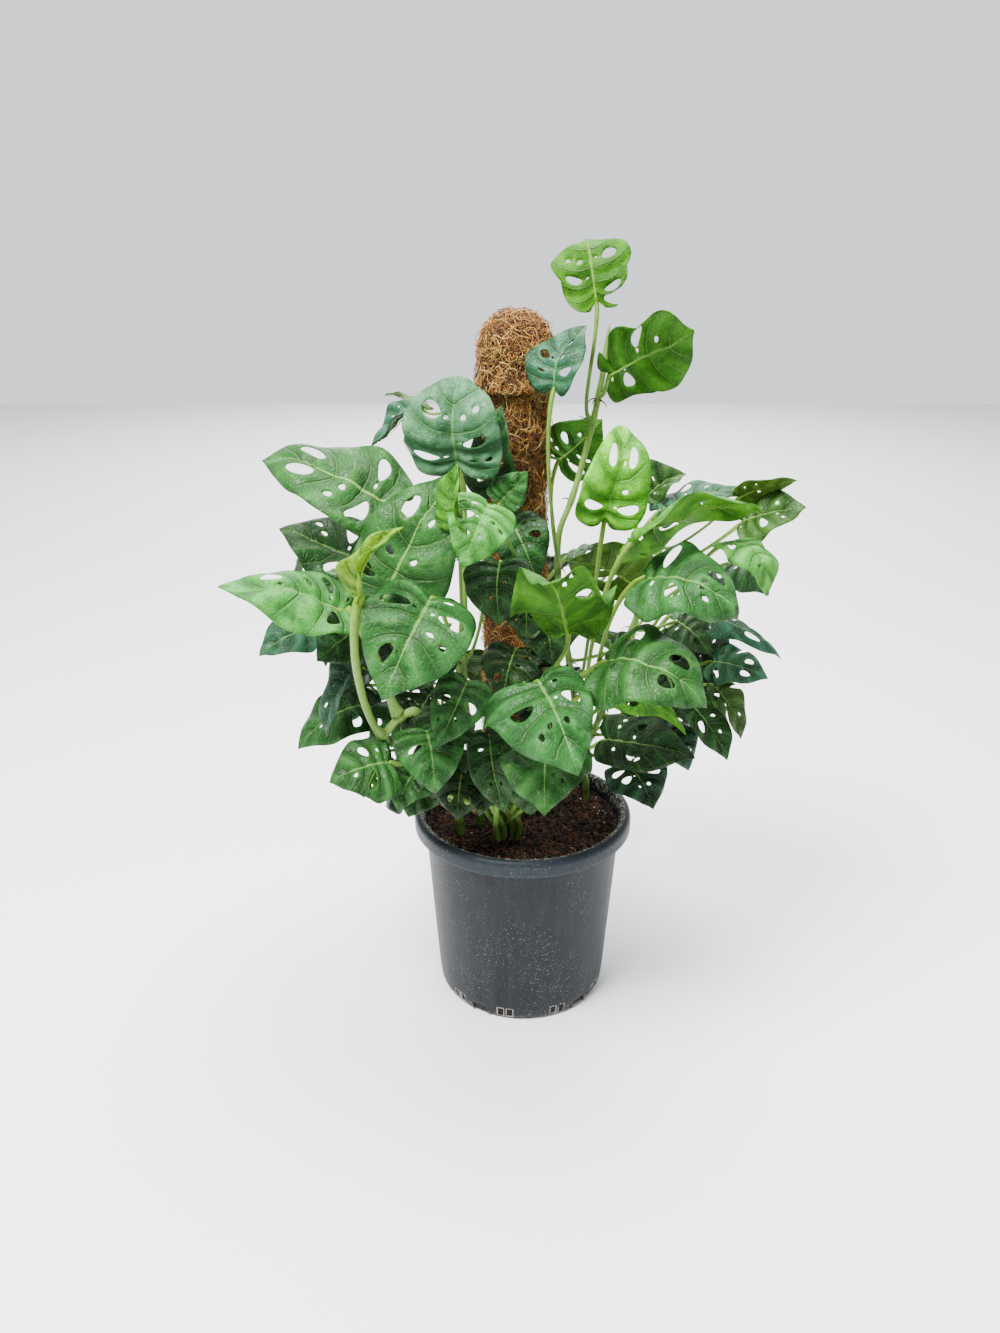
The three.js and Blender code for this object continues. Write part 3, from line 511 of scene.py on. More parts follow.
@dataclass
class Leaf:
    """One leaf: where it stands, the shape of its blade, and the holes in it."""

    name: str
    vine: str
    at: float  # where its petiole starts, as a share of the stem's length
    base: tuple
    tip: tuple
    face: tuple  # roughly the way that the upper side looks
    width: float
    arch: float = 0.08  # rise of the midrib, as a share of the length
    cup: float = 0  # how far each half is folded up, in degrees
    left: tuple = ()  # rows between the side veins that have a large hole
    right: tuple = ()
    look: str = "mature"
    asym: tuple = (1, 1)  # widths of the left and the right half
    curl: float = 0.0  # how far the tip rolls down, in radians
    blunt: float = 0.0  # fuller near the tip
    shoulder: float = 0.0  # wider in its outer part and narrower in its inner part
    ruffle: float = 1.0  # height of the waves along the margin
    splits: tuple = ()  # cuts from the margin, each (u, side, depth, half width)
    stalk: float = 1.0  # thickness of the petiole
    drawn_only: bool = False

    def __post_init__(self):
        self.base = np.array(self.base, float)
        self.width *= FULLNESS
        self.cup = math.radians(self.cup)
        along = np.array(self.tip, float) - self.base
        self.length = np.linalg.norm(along)
        self.along = along / self.length
        face = np.array(self.face, float)
        self.up = unit(face - (face @ self.along) * self.along)
        self.across = np.cross(self.along, self.up)
        self.random = random.Random("leaf " + self.name)
        self.seed = self.random.uniform(0, 100)
        self.phase = (self.random.uniform(0, 6.28), self.random.uniform(0, 6.28))
        self.waves = self.random.uniform(1.8, 3.0)
        self.sway = self.random.uniform(-0.03, 0.03)
        self.holes = self.make_holes()

    def make_holes(self):
        """Slots between the side veins, each (u, v, half width in u, half length in v, slant)."""
        holes = []
        pick = self.random
        for side, rows in ((-1, self.left), (1, self.right)):
            for row in range(1, ROWS):
                u = (row + 0.5) / ROWS
                slant = pick.uniform(-0.05, 0.03)
                if row in rows and row <= LAST_HOLED_ROW:
                    half = pick.uniform(0.25, 0.34) - 0.02 * row
                    v = side * pick.uniform(0.48, 0.55)
                    holes.append((u, v, pick.uniform(0.044, 0.062), half, slant))
                    if pick.random() < 0.5:
                        holes.append((u + 0.01, side * 0.16, 0.014, 0.05, slant))
                elif pick.random() < 0.55 and row <= LAST_HOLED_ROW:
                    middle = pick.uniform(0.26, 0.42)
                    width = pick.uniform(0.016, 0.026)
                    holes.append((u, side * middle, width, pick.uniform(0.07, 0.12), slant))
                    if pick.random() < 0.4 and self.width > 55:
                        holes.append((u, side * (middle + 0.33), 0.020, pick.uniform(0.07, 0.10), slant))
        return holes

    def in_hole(self, u, v, grow=0.0):
        for hole_u, hole_v, half_u, half_v, slant in self.holes:
            reach = (v - hole_v) / (half_v + 4 * grow)
            if abs(reach) >= 1:
                continue
            width = half_u * (0.80 + 0.20 * math.copysign(reach, reach * hole_v)) + grow
            lean = slant * (abs(v) - abs(hole_v))
            if abs(u - hole_u - lean) < width * math.sqrt(1 - reach ** 2):
                return True
        return False

    def hole_rim(self, hole, count):
        """A slot's outline: blunt towards the margin and narrow towards the midrib."""
        hole_u, hole_v, half_u, half_v, slant = hole
        rim = []
        for angle in np.linspace(0, 2 * math.pi, count, endpoint=False):
            reach = math.sin(angle)
            v = hole_v + half_v * reach
            outward = reach if hole_v > 0 else -reach
            width = half_u * (0.80 + 0.20 * outward)
            rim.append((hole_u + width * math.cos(angle) + slant * (abs(v) - abs(hole_v)), v))
        return rim

    def edge_share(self, u, side):
        """How far the blade reaches at u: less than 1 where a split or a nibble cuts into the margin."""
        share = 1.0
        for place, split_side, depth, width in self.splits:
            if split_side == side:
                share -= depth * math.exp(-((u - place) / width) ** 4)
        ripple = noise.noise(Vector((u * 9, side * 3.0, self.seed))) * 0.035
        return share + ripple * math.sin(math.pi * min(u * 1.15, 1.0))

    def flat(self, u, v):
        """Place on the flattened blade: across and along, in millimetres."""
        side = abs(v)
        reach, rim = edge_at(u) if side else (0.0, 0.0)
        bow = 0.05 * math.sin(math.pi * side) * math.sin(math.pi * u)
        y = u ** VEIN_SWEEP * (1 - side) + rim * side - bow
        outer_part = math.sin(math.pi * min((rim - 0.4) / 0.6, 1.0))
        fullness = reach + self.blunt * 0.32 * max(0.0, outer_part)
        fullness *= 1 + self.shoulder * (2 * rim - 1)
        x = fullness * v * self.width * self.asym[0 if v < 0 else 1] / 2
        return x, y * self.length

    def surface(self, u, v):
        """Point of the blade's middle surface in space."""
        x, y = self.flat(u, v)
        side = abs(v)
        t = y / self.length
        rise = abs(x) * math.sin(self.cup) + self.arch * self.length * 4 * t * (1 - t)
        quilt = abs(math.sin(math.pi * ROWS * u)) ** 0.7
        quilt *= math.sin(math.pi * min(side * 0.95 + 0.04, 1)) ** 0.6
        rise += QUILTING * self.width * quilt * min(1.0, 4 * (1 - u))
        rise -= MIDRIB_GROOVE * self.width * math.exp(-(x / (0.045 * self.width)) ** 2)
        wave = math.sin(2 * math.pi * self.waves * u + self.phase[0 if v < 0 else 1])
        rise += WAVES * self.ruffle * self.width * side ** 3 * wave * math.sin(math.pi * min(u * 1.1, 1))
        rise += UNEVENNESS * self.width * noise.noise(Vector((x / 38 + self.seed, y / 38, 0)))
        sway = self.sway * self.length * math.sin(math.pi * t)
        if self.curl and t > CURL_FROM:
            turn = self.curl * (t - CURL_FROM) / (1 - CURL_FROM)
            radius = self.length * (1 - CURL_FROM) / self.curl
            y = CURL_FROM * self.length + radius * math.sin(turn) + rise * math.sin(turn)
            rise = rise * math.cos(turn) - radius * (1 - math.cos(turn))
        return self.base + self.along * y + self.across * (x * math.cos(self.cup) + sway) + self.up * rise

    def petiole_path(self):
        """From the stem, square to it, up to the base of the blade."""
        radius, points = STEMS[self.vine]
        line = catmull(points, 201)
        index = min(int(round(self.at * 200)), 199)
        root = line[index]
        tangent = unit(line[index + 1] - line[max(index - 1, 0)])
        outward = self.base - root
        outward = unit(outward - (outward @ tangent) * tangent)
        start = root + outward * (radius - 1.0)
        span = np.linalg.norm(self.base - start)
        leave = start + outward * min(PETIOLE["stub"], span / 3)
        arrive = self.base - self.along * span * PETIOLE["lead"]
        arrive[2] -= span * PETIOLE["rise"]
        return bezier(start, leave, arrive, self.base, 22)


def blade_mesh(leaf, steps_u, steps_v):
    """Triangles of the flat blade with its outline and holes, as (u, v) places and faces."""
    places = []
    loops = []

    def add_loop(loop):
        start = len(places)
        places.extend(loop)
        loops.append([(start + i, start + (i + 1) % len(loop)) for i in range(len(loop))])

    rim_steps = 2 * steps_u
    right = [(u, leaf.edge_share(u, 1)) for u in np.linspace(0, 1, rim_steps)[1:-1]]
    left = [(u, -leaf.edge_share(u, -1)) for u in np.linspace(1, 0, rim_steps)[1:-1]]
    add_loop([(0.0, 0.0)] + right + [(1.0, 0.0)] + left)
    for hole in leaf.holes:
        add_loop(leaf.hole_rim(hole, 20))
    flat = [leaf.flat(u, v) for u, v in places]
    taken = {(round(x / SPACING), round(y / SPACING)) for x, y in flat}
    for u in np.linspace(0, 1, steps_u)[1:-1]:
        for v in np.linspace(-1, 1, steps_v)[1:-1]:
            limit = leaf.edge_share(u, 1 if v > 0 else -1) - 0.035
            if abs(v) > limit or leaf.in_hole(u, v, 0.005):
                continue
            x, y = leaf.flat(u, v)
            cell = (round(x / SPACING), round(y / SPACING))
            if cell in taken:
                continue
            taken.add(cell)
            places.append((u, v))
            flat.append((x, y))
    edges = [edge for loop in loops for edge in loop]
    made = delaunay_2d_cdt([Vector(point) for point in flat], edges, [], 1, 1e-5)
    triangles, sources = made[2], made[3]
    uv = [places[source[0]] if source else None for source in sources]
    faces = []
    for face in triangles:
        if any(uv[i] is None for i in face):
            continue
        mid_u = sum(uv[i][0] for i in face) / len(face)
        mid_v = sum(uv[i][1] for i in face) / len(face)
        if not leaf.in_hole(mid_u, mid_v):
            faces.append(tuple(face))
    used = sorted({i for face in faces for i in face})
    new_index = {old: new for new, old in enumerate(used)}
    return [uv[i] for i in used], [tuple(new_index[i] for i in face) for face in faces]


def vary(color, pick, amount):
    shade = 1 + pick.uniform(-amount, amount)
    warm = 1 + pick.uniform(-amount, amount) * 0.5
    return (color[0] * shade * warm, color[1] * shade, color[2] * shade / warm)


def blade_normals(middle, corner):
    """Normals of the vertices, weighted by the area of the faces."""
    a, b, c = (middle[corner[:, k]] for k in range(3))
    face_normals = np.cross(b - a, c - a)
    normals = np.zeros_like(middle)
    for k in range(3):
        np.add.at(normals, corner[:, k], face_normals)
    lengths = np.linalg.norm(normals, axis=1)[:, None]
    return normals / np.where(lengths > 1e-9, lengths, 1)


def add_blade(mesh, leaf):
    """Two skins, joined by a rim round the margin and round each hole."""
    steps = 30 if leaf.width > 50 else 24
    places, faces = blade_mesh(leaf, steps, int(steps * 0.8))
    middle = np.array([leaf.surface(u, v) for u, v in places])
    corner = np.array(faces)
    normals = blade_normals(middle, corner)
    if (normals @ leaf.up).sum() < 0:
        normals = -normals
        corner = corner[:, ::-1]
    count = len(places)
    uv = [(u, 0.5 + v / 2) for u, v in places]
    half = LEAF_THICKNESS / 2
    vertices = np.concatenate([middle + normals * half, middle - normals * half])
    directed = dict.fromkeys(edge for a, b, c in corner for edge in ((a, b), (b, c), (c, a)))
    top = [tuple(face) for face in corner]
    under = [(c + count, b + count, a + count) for a, b, c in corner]
    sides = [(b, a, a + count, b + count) for a, b in directed if (b, a) not in directed]
    # Leaves low in the plant, and those that only fill it, get less light and are darker.
    shade = np.clip((leaf.base[2] - 280) / 260, 0, 1) * 0.35 + (0.45 if leaf.drawn_only else 0.65)
    upper_tone, under_tone = (shade * np.array(vary(tone, leaf.random, 0.16)) for tone in TONES[leaf.look])
    mesh.add(vertices, top + under + sides, [upper_tone] * count + [under_tone] * count, 0, uv + uv)
    mesh.slots = [0] * len(top) + [1] * (len(under) + len(sides))


def add_petiole(mesh, leaf):
    """The petiole, swollen at its foot and its knee, and on along the underside as the midrib."""
    ridge = [leaf.surface(u, 0) - leaf.up * 0.9 for u in np.linspace(0.12, 0.985, 18)]
    path = np.concatenate([leaf.petiole_path()[:-1], [leaf.base - leaf.up * 0.6], ridge])
    t = np.linspace(0, 1, len(path))
    radii = 2.0 * leaf.stalk * (leaf.width / 80) ** 0.4 * (
        1 + 0.55 * np.exp(-(t / 0.06) ** 2) + 0.28 * np.exp(-((t - 0.50) / 0.05) ** 2))
    radii *= np.where(t < 0.55, 1.0, np.clip(1.0 - (t - 0.55) / 0.42, 0.10, 1) * 0.75)
    share = np.repeat(np.clip((t - 0.1) / 0.5, 0, 1), 8)[:, None]
    stalk = np.array(vary(PETIOLE_TONE, leaf.random, 0.15)) * (1 - 0.25 * leaf.random.random())
    mesh.add(*tube(path, radii, 8), np.array(STEM_TONE) * (1 - share) + stalk * share, 2)


def make_leaf(leaf):
    mesh = Mesh()
    add_blade(mesh, leaf)
    add_petiole(mesh, leaf)
    piece = mesh.build("foliage_" + leaf.name, [LEAF_UPPER, LEAF_UNDER, STEM_SKIN])
    if leaf.drawn_only:
        hand_over(piece)
    else:
        hand_over(piece, "leaf_" + leaf.name)


# ---- stems -------------------------------------------------------------------------------
def make_stem(name, leaves):
    """A stem with a swelling and a scar ring at each leaf, and short dark roots near them."""
    radius, points = STEMS[name]
    pick = random.Random("stem " + name)
    count = 120
    sides = 14
    line = catmull(points, count)
    nodes = [leaf.at for leaf in leaves if leaf.vine == name]
    nodes += [at for at in np.arange(0.12, 0.95, 0.12) if min([abs(at - n) for n in nodes] or [1]) > 0.05]
    t = np.linspace(0, 1, count)
    radii = radius * (1.0 - 0.22 * t)
    shade = np.ones(count)
    for at in nodes:
        radii += 0.16 * radius * np.exp(-((t - at) / 0.012) ** 2)
        shade -= 0.35 * np.exp(-((t - at + 0.012) / 0.006) ** 2)
    radii[-6:] *= np.linspace(1.0, 0.25, 6)
    tones = np.array(STEM_TONE)[None, :] * np.repeat(shade, sides)[:, None]
    fresh = np.repeat(np.clip((t - 0.35) / 0.5, 0, 1), sides)[:, None]
    tones = tones * (1 - fresh) + tones * fresh * np.array([1.45, 1.35, 1.2])
    mesh = Mesh()
    mesh.add(*tube(line, radii, sides), tones)
    for at in nodes:
        if at < 0.2:
            continue
        for _ in range(pick.randint(1, 3)):
            index = min(int(at * (count - 1)), count - 2)
            axis = unit(line[index + 1] - line[index])
            way = np.array([pick.uniform(-1, 1) for _ in range(3)])
            way = unit(way - (way @ axis) * axis)
            length = pick.uniform(5, 16)
            steps = [line[index] + way * (radii[index] * 0.8)]
            for _ in range(6):
                stray = np.array([pick.uniform(-0.3, 0.3) for _ in range(3)])
                way = unit(way + stray + np.array([0, 0, -0.14]))
                steps.append(steps[-1] + way * length / 6)
            mesh.add(*tube(steps, np.linspace(0.9, 0.35, 7), 6), ROOT_TONE)
    hand_over(mesh.build("vine_" + name, [STEM_SKIN]), "stem_" + name)


SHOOT_FOOT = (-18, -42)  # where the clump of young shoots leaves the soil
SHOOT_ENDS = [(-86, -84, 290), (-72, -90, 305), (-58, -80, 318), (-98, -72, 276), (2, -90, 295),
              (16, -82, 272), (-28, -94, 298), (-44, -96, 286), (32, -56, 305), (-108, -56, 305)]
THIN_ROOT = [(12, -70, 204), (13, -76, 202), (11, -84, 203), (13, -94, 202)]


def make_shoots():
    """The clump of pale shoots and leaf stalks in front of the pole, with a thin bare root."""
    pick = random.Random(23)
    mesh = Mesh()
    for end in SHOOT_ENDS:
        spread = (pick.uniform(-9, 9), pick.uniform(-7, 7))
        foot = np.array([SHOOT_FOOT[0] + spread[0], SHOOT_FOOT[1] + spread[1], SOIL_TOP - 10])
        knee = foot + np.array([spread[0] * 0.6, spread[1] * 0.6 - 2, 26 + pick.uniform(-6, 10)])
        middle = (knee + np.array(end)) / 2 + np.array([0, -6, 6])
        line = catmull([foot, knee, middle, end], 30)
        radii = np.linspace(pick.uniform(3.2, 4.8), pick.uniform(1.6, 2.2), 30)
        share = np.repeat(np.linspace(0, 1, 30), 12)[:, None]
        tone = np.array(vary((0.150, 0.270, 0.050), pick, 0.25))
        mesh.add(*tube(line, radii, 12), tone * (0.55 + 0.75 * share))
    mesh.add(*tube(catmull(THIN_ROOT, 16), np.linspace(0.9, 0.5, 16), 8), (0.16, 0.10, 0.06))
    hand_over(mesh.build("shoot_clump", [STEM_SKIN]))


def make_dry_stem():
    radius, points = DRY_STEM
    t = np.linspace(0, 1, 60)
    radii = radius * (0.95 - 0.25 * t)
    for at in (0.22, 0.47, 0.73):
        radii += 0.5 * np.exp(-((t - at) / 0.02) ** 2)
    shade = np.repeat(1 - 0.3 * np.exp(-((t - 0.47) / 0.02) ** 2), 12)[:, None]
    mesh = Mesh()
    mesh.add(*tube(catmull(points, 60), radii, 12), np.array(DRY_TONE) * shade)
    hand_over(mesh.build("dried_stem", [fibre_material("dry_stem_skin", 0.6)]), "dry_stem")


# ---- coir pole -----------------------------------------------------------------------------
DOME_HEIGHT = POLE["cap_radius"] * POLE["dome_share"]
DOME_RADIUS = POLE["cap_radius"] - 1.5
SPRING = POLE["top"] - DOME_HEIGHT  # where the cap's dome begins


def lumps(point):
    """The wrap's own unevenness, in millimetres."""
    return 2.2 * noise.noise(Vector(point) / 21) + 1.0 * noise.noise(Vector(point) / 8)


def sleeve_radius(z):
    """Radius of the wrap: it bulges between the rounds of binding, and the cap stands out a little."""
    if z >= POLE["cap_foot"]:
        return DOME_RADIUS + 4.0 * math.exp(-((z - POLE["cap_foot"]) / 13) ** 2)
    share = (z - POLE["sleeve_foot"]) / (POLE["cap_foot"] - POLE["sleeve_foot"])
    inset = POLE["binding_depth"] * (1 + math.cos(2 * math.pi * POLE["bindings"] * share)) / 2
    return POLE["sleeve_radius"] - 1.0 - inset


def onto_wrap(point, offset):
    """The point of the wrap's surface nearest to `point`, raised by `offset`, and the surface's normal."""
    x, y, z = point[0] - POLE["x"], point[1] - POLE["y"], point[2]
    if z < SPRING:
        radius = sleeve_radius(z)
        length = math.hypot(x, y) + 1e-9
        normal = np.array([x / length, y / length, 0.0])
        offset += lumps((x, y, z))
        spot = normal * (radius + offset) + np.array([0, 0, z])
    else:
        axes = np.array([DOME_RADIUS, DOME_RADIUS, DOME_HEIGHT])
        q = unit(np.array([x, y, z - SPRING]) / axes)
        normal = unit(q / axes)
        spot = q * axes + np.array([0, 0, SPRING]) + normal * offset
    return spot + np.array([POLE["x"], POLE["y"], 0]), normal


def make_wrap_body(name, low, high, node):
    """The dense dark coir under the loose fibres."""
    rings = 90
    around = 72
    vertices = []
    for z in np.linspace(low, high, rings):
        if z < SPRING:
            radius = sleeve_radius(z)
        else:
            radius = DOME_RADIUS * math.sqrt(max(0.0, 1 - ((z - SPRING) / DOME_HEIGHT) ** 2))
        for angle in turns(around):
            unevenness = lumps((*polar(radius, angle), z)) * min(1, radius / 12)
            x, y = polar(max(radius - 2.0 + unevenness, 0.2), angle)
            vertices.append((POLE["x"] + x, POLE["y"] + y, min(z, POLE["top"] - 2.0)))
    mesh = Mesh()
    mesh.add(vertices, capped_rings(rings, around), WRAP_TONE)
    hand_over(mesh.build(name, [COIR]), node)


COIR_TONES = [(0.68, 0.36, 0.075), (0.52, 0.25, 0.042), (0.36, 0.14, 0.024), (0.22, 0.075, 0.015),
              (0.08, 0.028, 0.008), (0.80, 0.52, 0.17), (0.04, 0.015, 0.006), (0.12, 0.042, 0.011)]


def make_fibres(name, low, high, count, brightness, seed):
    """Loose curly coir strands that wander over the wrap."""
    pick = np.random.default_rng(seed)
    mesh = Mesh()
    for _ in range(count):
        z = pick.uniform(low, high)
        angle = pick.uniform(0, 2 * math.pi)
        reach = 32
        if z > SPRING:
            lean = pick.uniform(0, 1) ** 0.5
            reach = 34 * lean
            z = SPRING + DOME_HEIGHT * math.sqrt(max(0.02, 1 - lean ** 2))
        x, y = polar(reach, angle)
        depth = pick.uniform(-1.8, 2.4)
        point, normal = onto_wrap((POLE["x"] + x, POLE["y"] + y, z), depth)
        way = pick.normal(size=3)
        way[2] *= 0.7
        way = unit(way - (way @ normal) * normal)
        steps = int(pick.integers(5, 9))
        stride = pick.uniform(1.8, 4.4)
        bend = pick.normal(0, 0.5)
        path = [point]
        lift = pick.uniform(0.0, 1.0) ** 3 * 6.0
        for step in range(steps):
            turned = np.cross(normal, way)
            way = unit(way + turned * (bend + pick.normal(0, 0.45)))
            hump = lift * math.sin(math.pi * (step + 1) / steps)
            point, normal = onto_wrap(point + way * stride, depth + hump + pick.normal(0, 0.35))
            point[2] = max(point[2], SOIL_TOP - 12)
            path.append(point)
        radius = pick.uniform(0.15, 0.32)
        tone = np.array(COIR_TONES[pick.integers(0, len(COIR_TONES))]) * brightness
        shade = 0.35 + 0.65 * np.clip((depth + 1.8) / 4.2, 0, 1) ** 1.5
        tone = tuple(np.minimum(tone * shade * pick.uniform(0.6, 1.3), 0.85))
        mesh.add(*tube(path, radius, 3), tone)
    hand_over(mesh.build(name, [COIR]))


# ---- soil ------------------------------------------------------------------------------------
def inner_radius_at(height):
    share = min(height / (POT["height"] - POT["rim_band"]), 1)
    return POT["base_radius"] + (POT["mouth_radius"] - POT["base_radius"]) * share - POT["wall"]


def soil_height(x, y):
    radius = math.hypot(x, y) / inner_radius_at(SOIL_TOP)
    rough = noise.noise(Vector((x / 16, y / 16, 3.0))) * 2.4 + noise.noise(Vector((x / 5, y / 5, 7.0))) * 1.2
    return SOIL_TOP + SOIL_CROWN * (1 - radius) + rough - 0.5


def make_soil():
    reach = inner_radius_at(SOIL_TOP) - SOIL_GAP
    foot = inner_radius_at(POT["floor"]) - SOIL_GAP
    rings = 64
    around = 128
    vertices = [(0, 0, soil_height(0, 0))]
    for ring in range(1, rings + 1):
        for angle in turns(around):
            x, y = polar(reach * ring / rings, angle)
            vertices.append((x, y, soil_height(x, y)))
    start = len(vertices)
    vertices += [(*polar(foot, angle), POT["floor"] + SOIL_GAP) for angle in turns(around)]
    faces = [(0, 1 + k, 1 + (k + 1) % around) for k in range(around)]
    faces += [(a, d, c, b) for a, b, c, d in ring_faces(rings + 1, around, 1)]
    faces.append(tuple(start + k for k in reversed(range(around))))
    mesh = Mesh()
    mesh.add(vertices, faces, (0.03, 0.015, 0.01))
    hand_over(mesh.build("potting_mix_bed", [SOIL_SURFACE]), "soil")


def chip(size, pick):
    """A small angular crumb."""
    corners = np.array([(1, 1, 1), (1, -1, -1), (-1, 1, -1), (-1, -1, 1), (1, 0, -1), (-1, 0.4, 0.9)], float)
    corners *= np.array([pick.uniform(0.5, 1.4), pick.uniform(0.4, 1.0), pick.uniform(0.3, 0.8)]) * size / 2
    corners += pick.normal(0, size * 0.12, corners.shape)
    turn = np.linalg.qr(pick.normal(size=(3, 3)))[0]
    return corners @ turn


def hull_faces(points):
    mesh = bmesh.new()
    for point in points:
        mesh.verts.new(point)
    mesh.verts.ensure_lookup_table()
    bmesh.ops.convex_hull(mesh, input=list(mesh.verts))
    mesh.verts.index_update()
    vertices = [tuple(v.co) for v in mesh.verts]
    faces = [tuple(v.index for v in face.verts) for face in mesh.faces]
    mesh.free()
    return vertices, faces


def scatter_spot(pick, reach):
    while True:
        x, y = pick.uniform(-reach, reach, 2)
        if math.hypot(x, y) < reach and math.hypot(x - POLE["x"], y - POLE["y"]) > POLE["sleeve_radius"] - 2:
            return x, y


def make_soil_bits():
    """Crumbs, bark chips, coir strands and perlite grains lying on the potting mix."""
    pick = np.random.default_rng(41)
    reach = inner_radius_at(SOIL_TOP) - 4
    moulds = [hull_faces(chip(1.0, pick)) for _ in range(24)]
    mesh = Mesh()
    for _ in range(4200):
        x, y = scatter_spot(pick, reach)
        size = pick.uniform(1.2, 3.4) if pick.random() < 0.85 else pick.uniform(3.5, 7.0)
        vertices, faces = moulds[pick.integers(0, len(moulds))]
        cos, sin = polar(1, pick.uniform(0, 2 * math.pi))
        z = soil_height(x, y) + size * 0.15
        placed = [(x + size * (cos * a - sin * b), y + size * (sin * a + cos * b), z + size * c)
                  for a, b, c in vertices]
        mesh.add(placed, faces, CRUMB_TONES[pick.integers(0, len(CRUMB_TONES))])
    for _ in range(900):
        x, y = scatter_spot(pick, reach - 3)
        way = pick.uniform(0, 2 * math.pi)
        path = []
        stride = pick.uniform(1.4, 3.6)
        for _ in range(6):
            x += math.cos(way) * stride
            y += math.sin(way) * stride
            if math.hypot(x, y) > reach:
                break
            way += pick.normal(0, 0.5)
            path.append((x, y, soil_height(x, y) + pick.uniform(0.6, 2.2)))
        if len(path) < 3:
            continue
        strand = tube(path, pick.uniform(0.15, 0.38), 3)
        mesh.add(*strand, tuple(np.array([0.30, 0.13, 0.06]) * pick.uniform(0.15, 1.3)))
    hand_over(mesh.build("soil_crumbs", [SOIL_BITS]))
    grains = Mesh()
    for _ in range(110):
        x, y = scatter_spot(pick, reach)
        size = pick.uniform(0.8, 2.0)
        vertices, faces = moulds[pick.integers(0, len(moulds))]
        z = soil_height(x, y) + 1.0
        placed = [(x + size * a, y + size * b, z + size * c) for a, b, c in vertices]
        grains.add(placed, faces, (0.7, 0.7, 0.66))
    hand_over(grains.build("perlite_grains", [PERLITE]))


def make_rim_crust():
    """Pale dried fibres and crumbs that cling along the inside of the rim, thickest at the front."""
    pick = np.random.default_rng(77)
    mesh = Mesh()
    mouth = POT["mouth_radius"]
    for _ in range(620):
        angle = math.radians(pick.normal(-84, 34))
        radius = pick.uniform(mouth - 2.5, mouth + 1.8)
        z = POT["height"] - 6.5 + (radius - mouth) * 1.6 + pick.uniform(-1.5, 1.0)
        way = angle + math.pi / 2 + pick.normal(0, 0.7)
        point = np.array([*polar(radius, angle), z])
        path = [point]
        for _ in range(4):
            way += pick.normal(0, 0.6)
            point = point + np.array([*polar(1, way), pick.normal(0.1, 0.3)]) * pick.uniform(0.6, 2.0)
            reach = math.hypot(point[0], point[1])
            if reach > mouth + 3.0:
                point[:2] *= (mouth + 3.0) / reach
            path.append(point)
        fibre = tube(path, pick.uniform(0.12, 0.38), 3)
        mesh.add(*fibre, tuple(np.array([0.52, 0.44, 0.34]) * pick.uniform(0.35, 1.1)))
    hand_over(mesh.build("rim_crust", [SOIL_BITS]))


# ---- pot ---------------------------------------------------------------------------------------
def pot_profile():
    """Outside, over the rolled rim and down the inside, as [radius, height]."""
    height, wall = POT["height"], POT["wall"]
    rim_foot = height - POT["rim_band"]
    mouth, rim = POT["mouth_radius"], POT["rim_radius"]
    foot = POT["foot_round"]

    def outer(z):
        return POT["base_radius"] + (mouth - POT["base_radius"]) * min(z / rim_foot, 1)

    points = [(0.0, 0.0), (30.0, 0.0), (60.0, 0.0), (POT["base_radius"] - foot, 0.0)]
    for step in range(1, 6):
        angle = math.radians(90 * step / 5)
        points.append((POT["base_radius"] - foot + foot * math.sin(angle), foot - foot * math.cos(angle)))
    points += [(outer(z), z) for z in np.linspace(foot * 2, rim_foot - 4, 14)]
    points.append((outer(rim_foot - 1), rim_foot - 1))
    points += [(mouth + wall, rim_foot + 2), (mouth + wall + 0.4, height - 9), (mouth + 5, height - 4)]
    points += [(rim - 5, height - 4), (rim - wall - 0.6, height - 9), (rim - wall, rim_foot + 1)]
    points += [(rim - wall + 0.4, rim_foot), (rim - 0.7, rim_foot), (rim, rim_foot + 0.8)]
    points += [(rim, rim_foot + 4), (rim, height - 7.5)]
    middle = (rim + mouth) / 2
    half = (rim - mouth) / 2
    for step in range(1, 14):
        angle = math.radians(180 * step / 14)
        points.append((middle + half * math.cos(angle), height - 7 + 7 * math.sin(angle)))
    points += [(mouth, height - 7.5), (mouth - 0.6, height - 11), (outer(rim_foot) - wall, rim_foot)]
    points += [(outer(z) - wall, z) for z in np.linspace(rim_foot - 8, POT["floor"] + foot, 10)]
    points += [(radius, POT["floor"]) for radius in (outer(0) - wall - foot, 60.0, 30.0, 0.0)]
    return points


def from_bmesh(name, mesh):
    data = bpy.data.meshes.new(name)
    mesh.to_mesh(data)
    mesh.free()
    return stand(name, data)


def turned(name, profile, around):
    """A closed surface of revolution round the Z axis."""
    mesh = bmesh.new()
    rings = []
    for radius, z in profile:
        spots = [(0, 0)] if radius == 0 else [polar(radius, angle) for angle in turns(around)]
        rings.append([mesh.verts.new((x * MM, y * MM, z * MM)) for x, y in spots])
    for low, high in zip(rings, rings[1:]):
        for k in range(around):
            following = (k + 1) % around
            if len(low) == 1:
                mesh.faces.new((low[0], high[following], high[k]))
            elif len(high) == 1:
                mesh.faces.new((low[k], low[following], high[0]))
            else:
                mesh.faces.new((low[k], low[following], high[following], high[k]))
    bmesh.ops.recalc_face_normals(mesh, faces=mesh.faces)
    return from_bmesh(name, mesh)


def blocks(name, parts):
    """Boxes that point away from the Z axis, each: size, (distance, height), angle in degrees."""
    mesh = bmesh.new()
    for size, (distance, height), angle in parts:
        cos, sin = polar(1, math.radians(angle))
        for vertex in bmesh.ops.create_cube(mesh, size=1)["verts"]:
            x = vertex.co.x * size[0] + distance
            y = vertex.co.y * size[1]
            z = vertex.co.z * size[2] + height
            vertex.co = Vector((x * cos - y * sin, x * sin + y * cos, z)) * MM
    return from_bmesh(name, mesh)


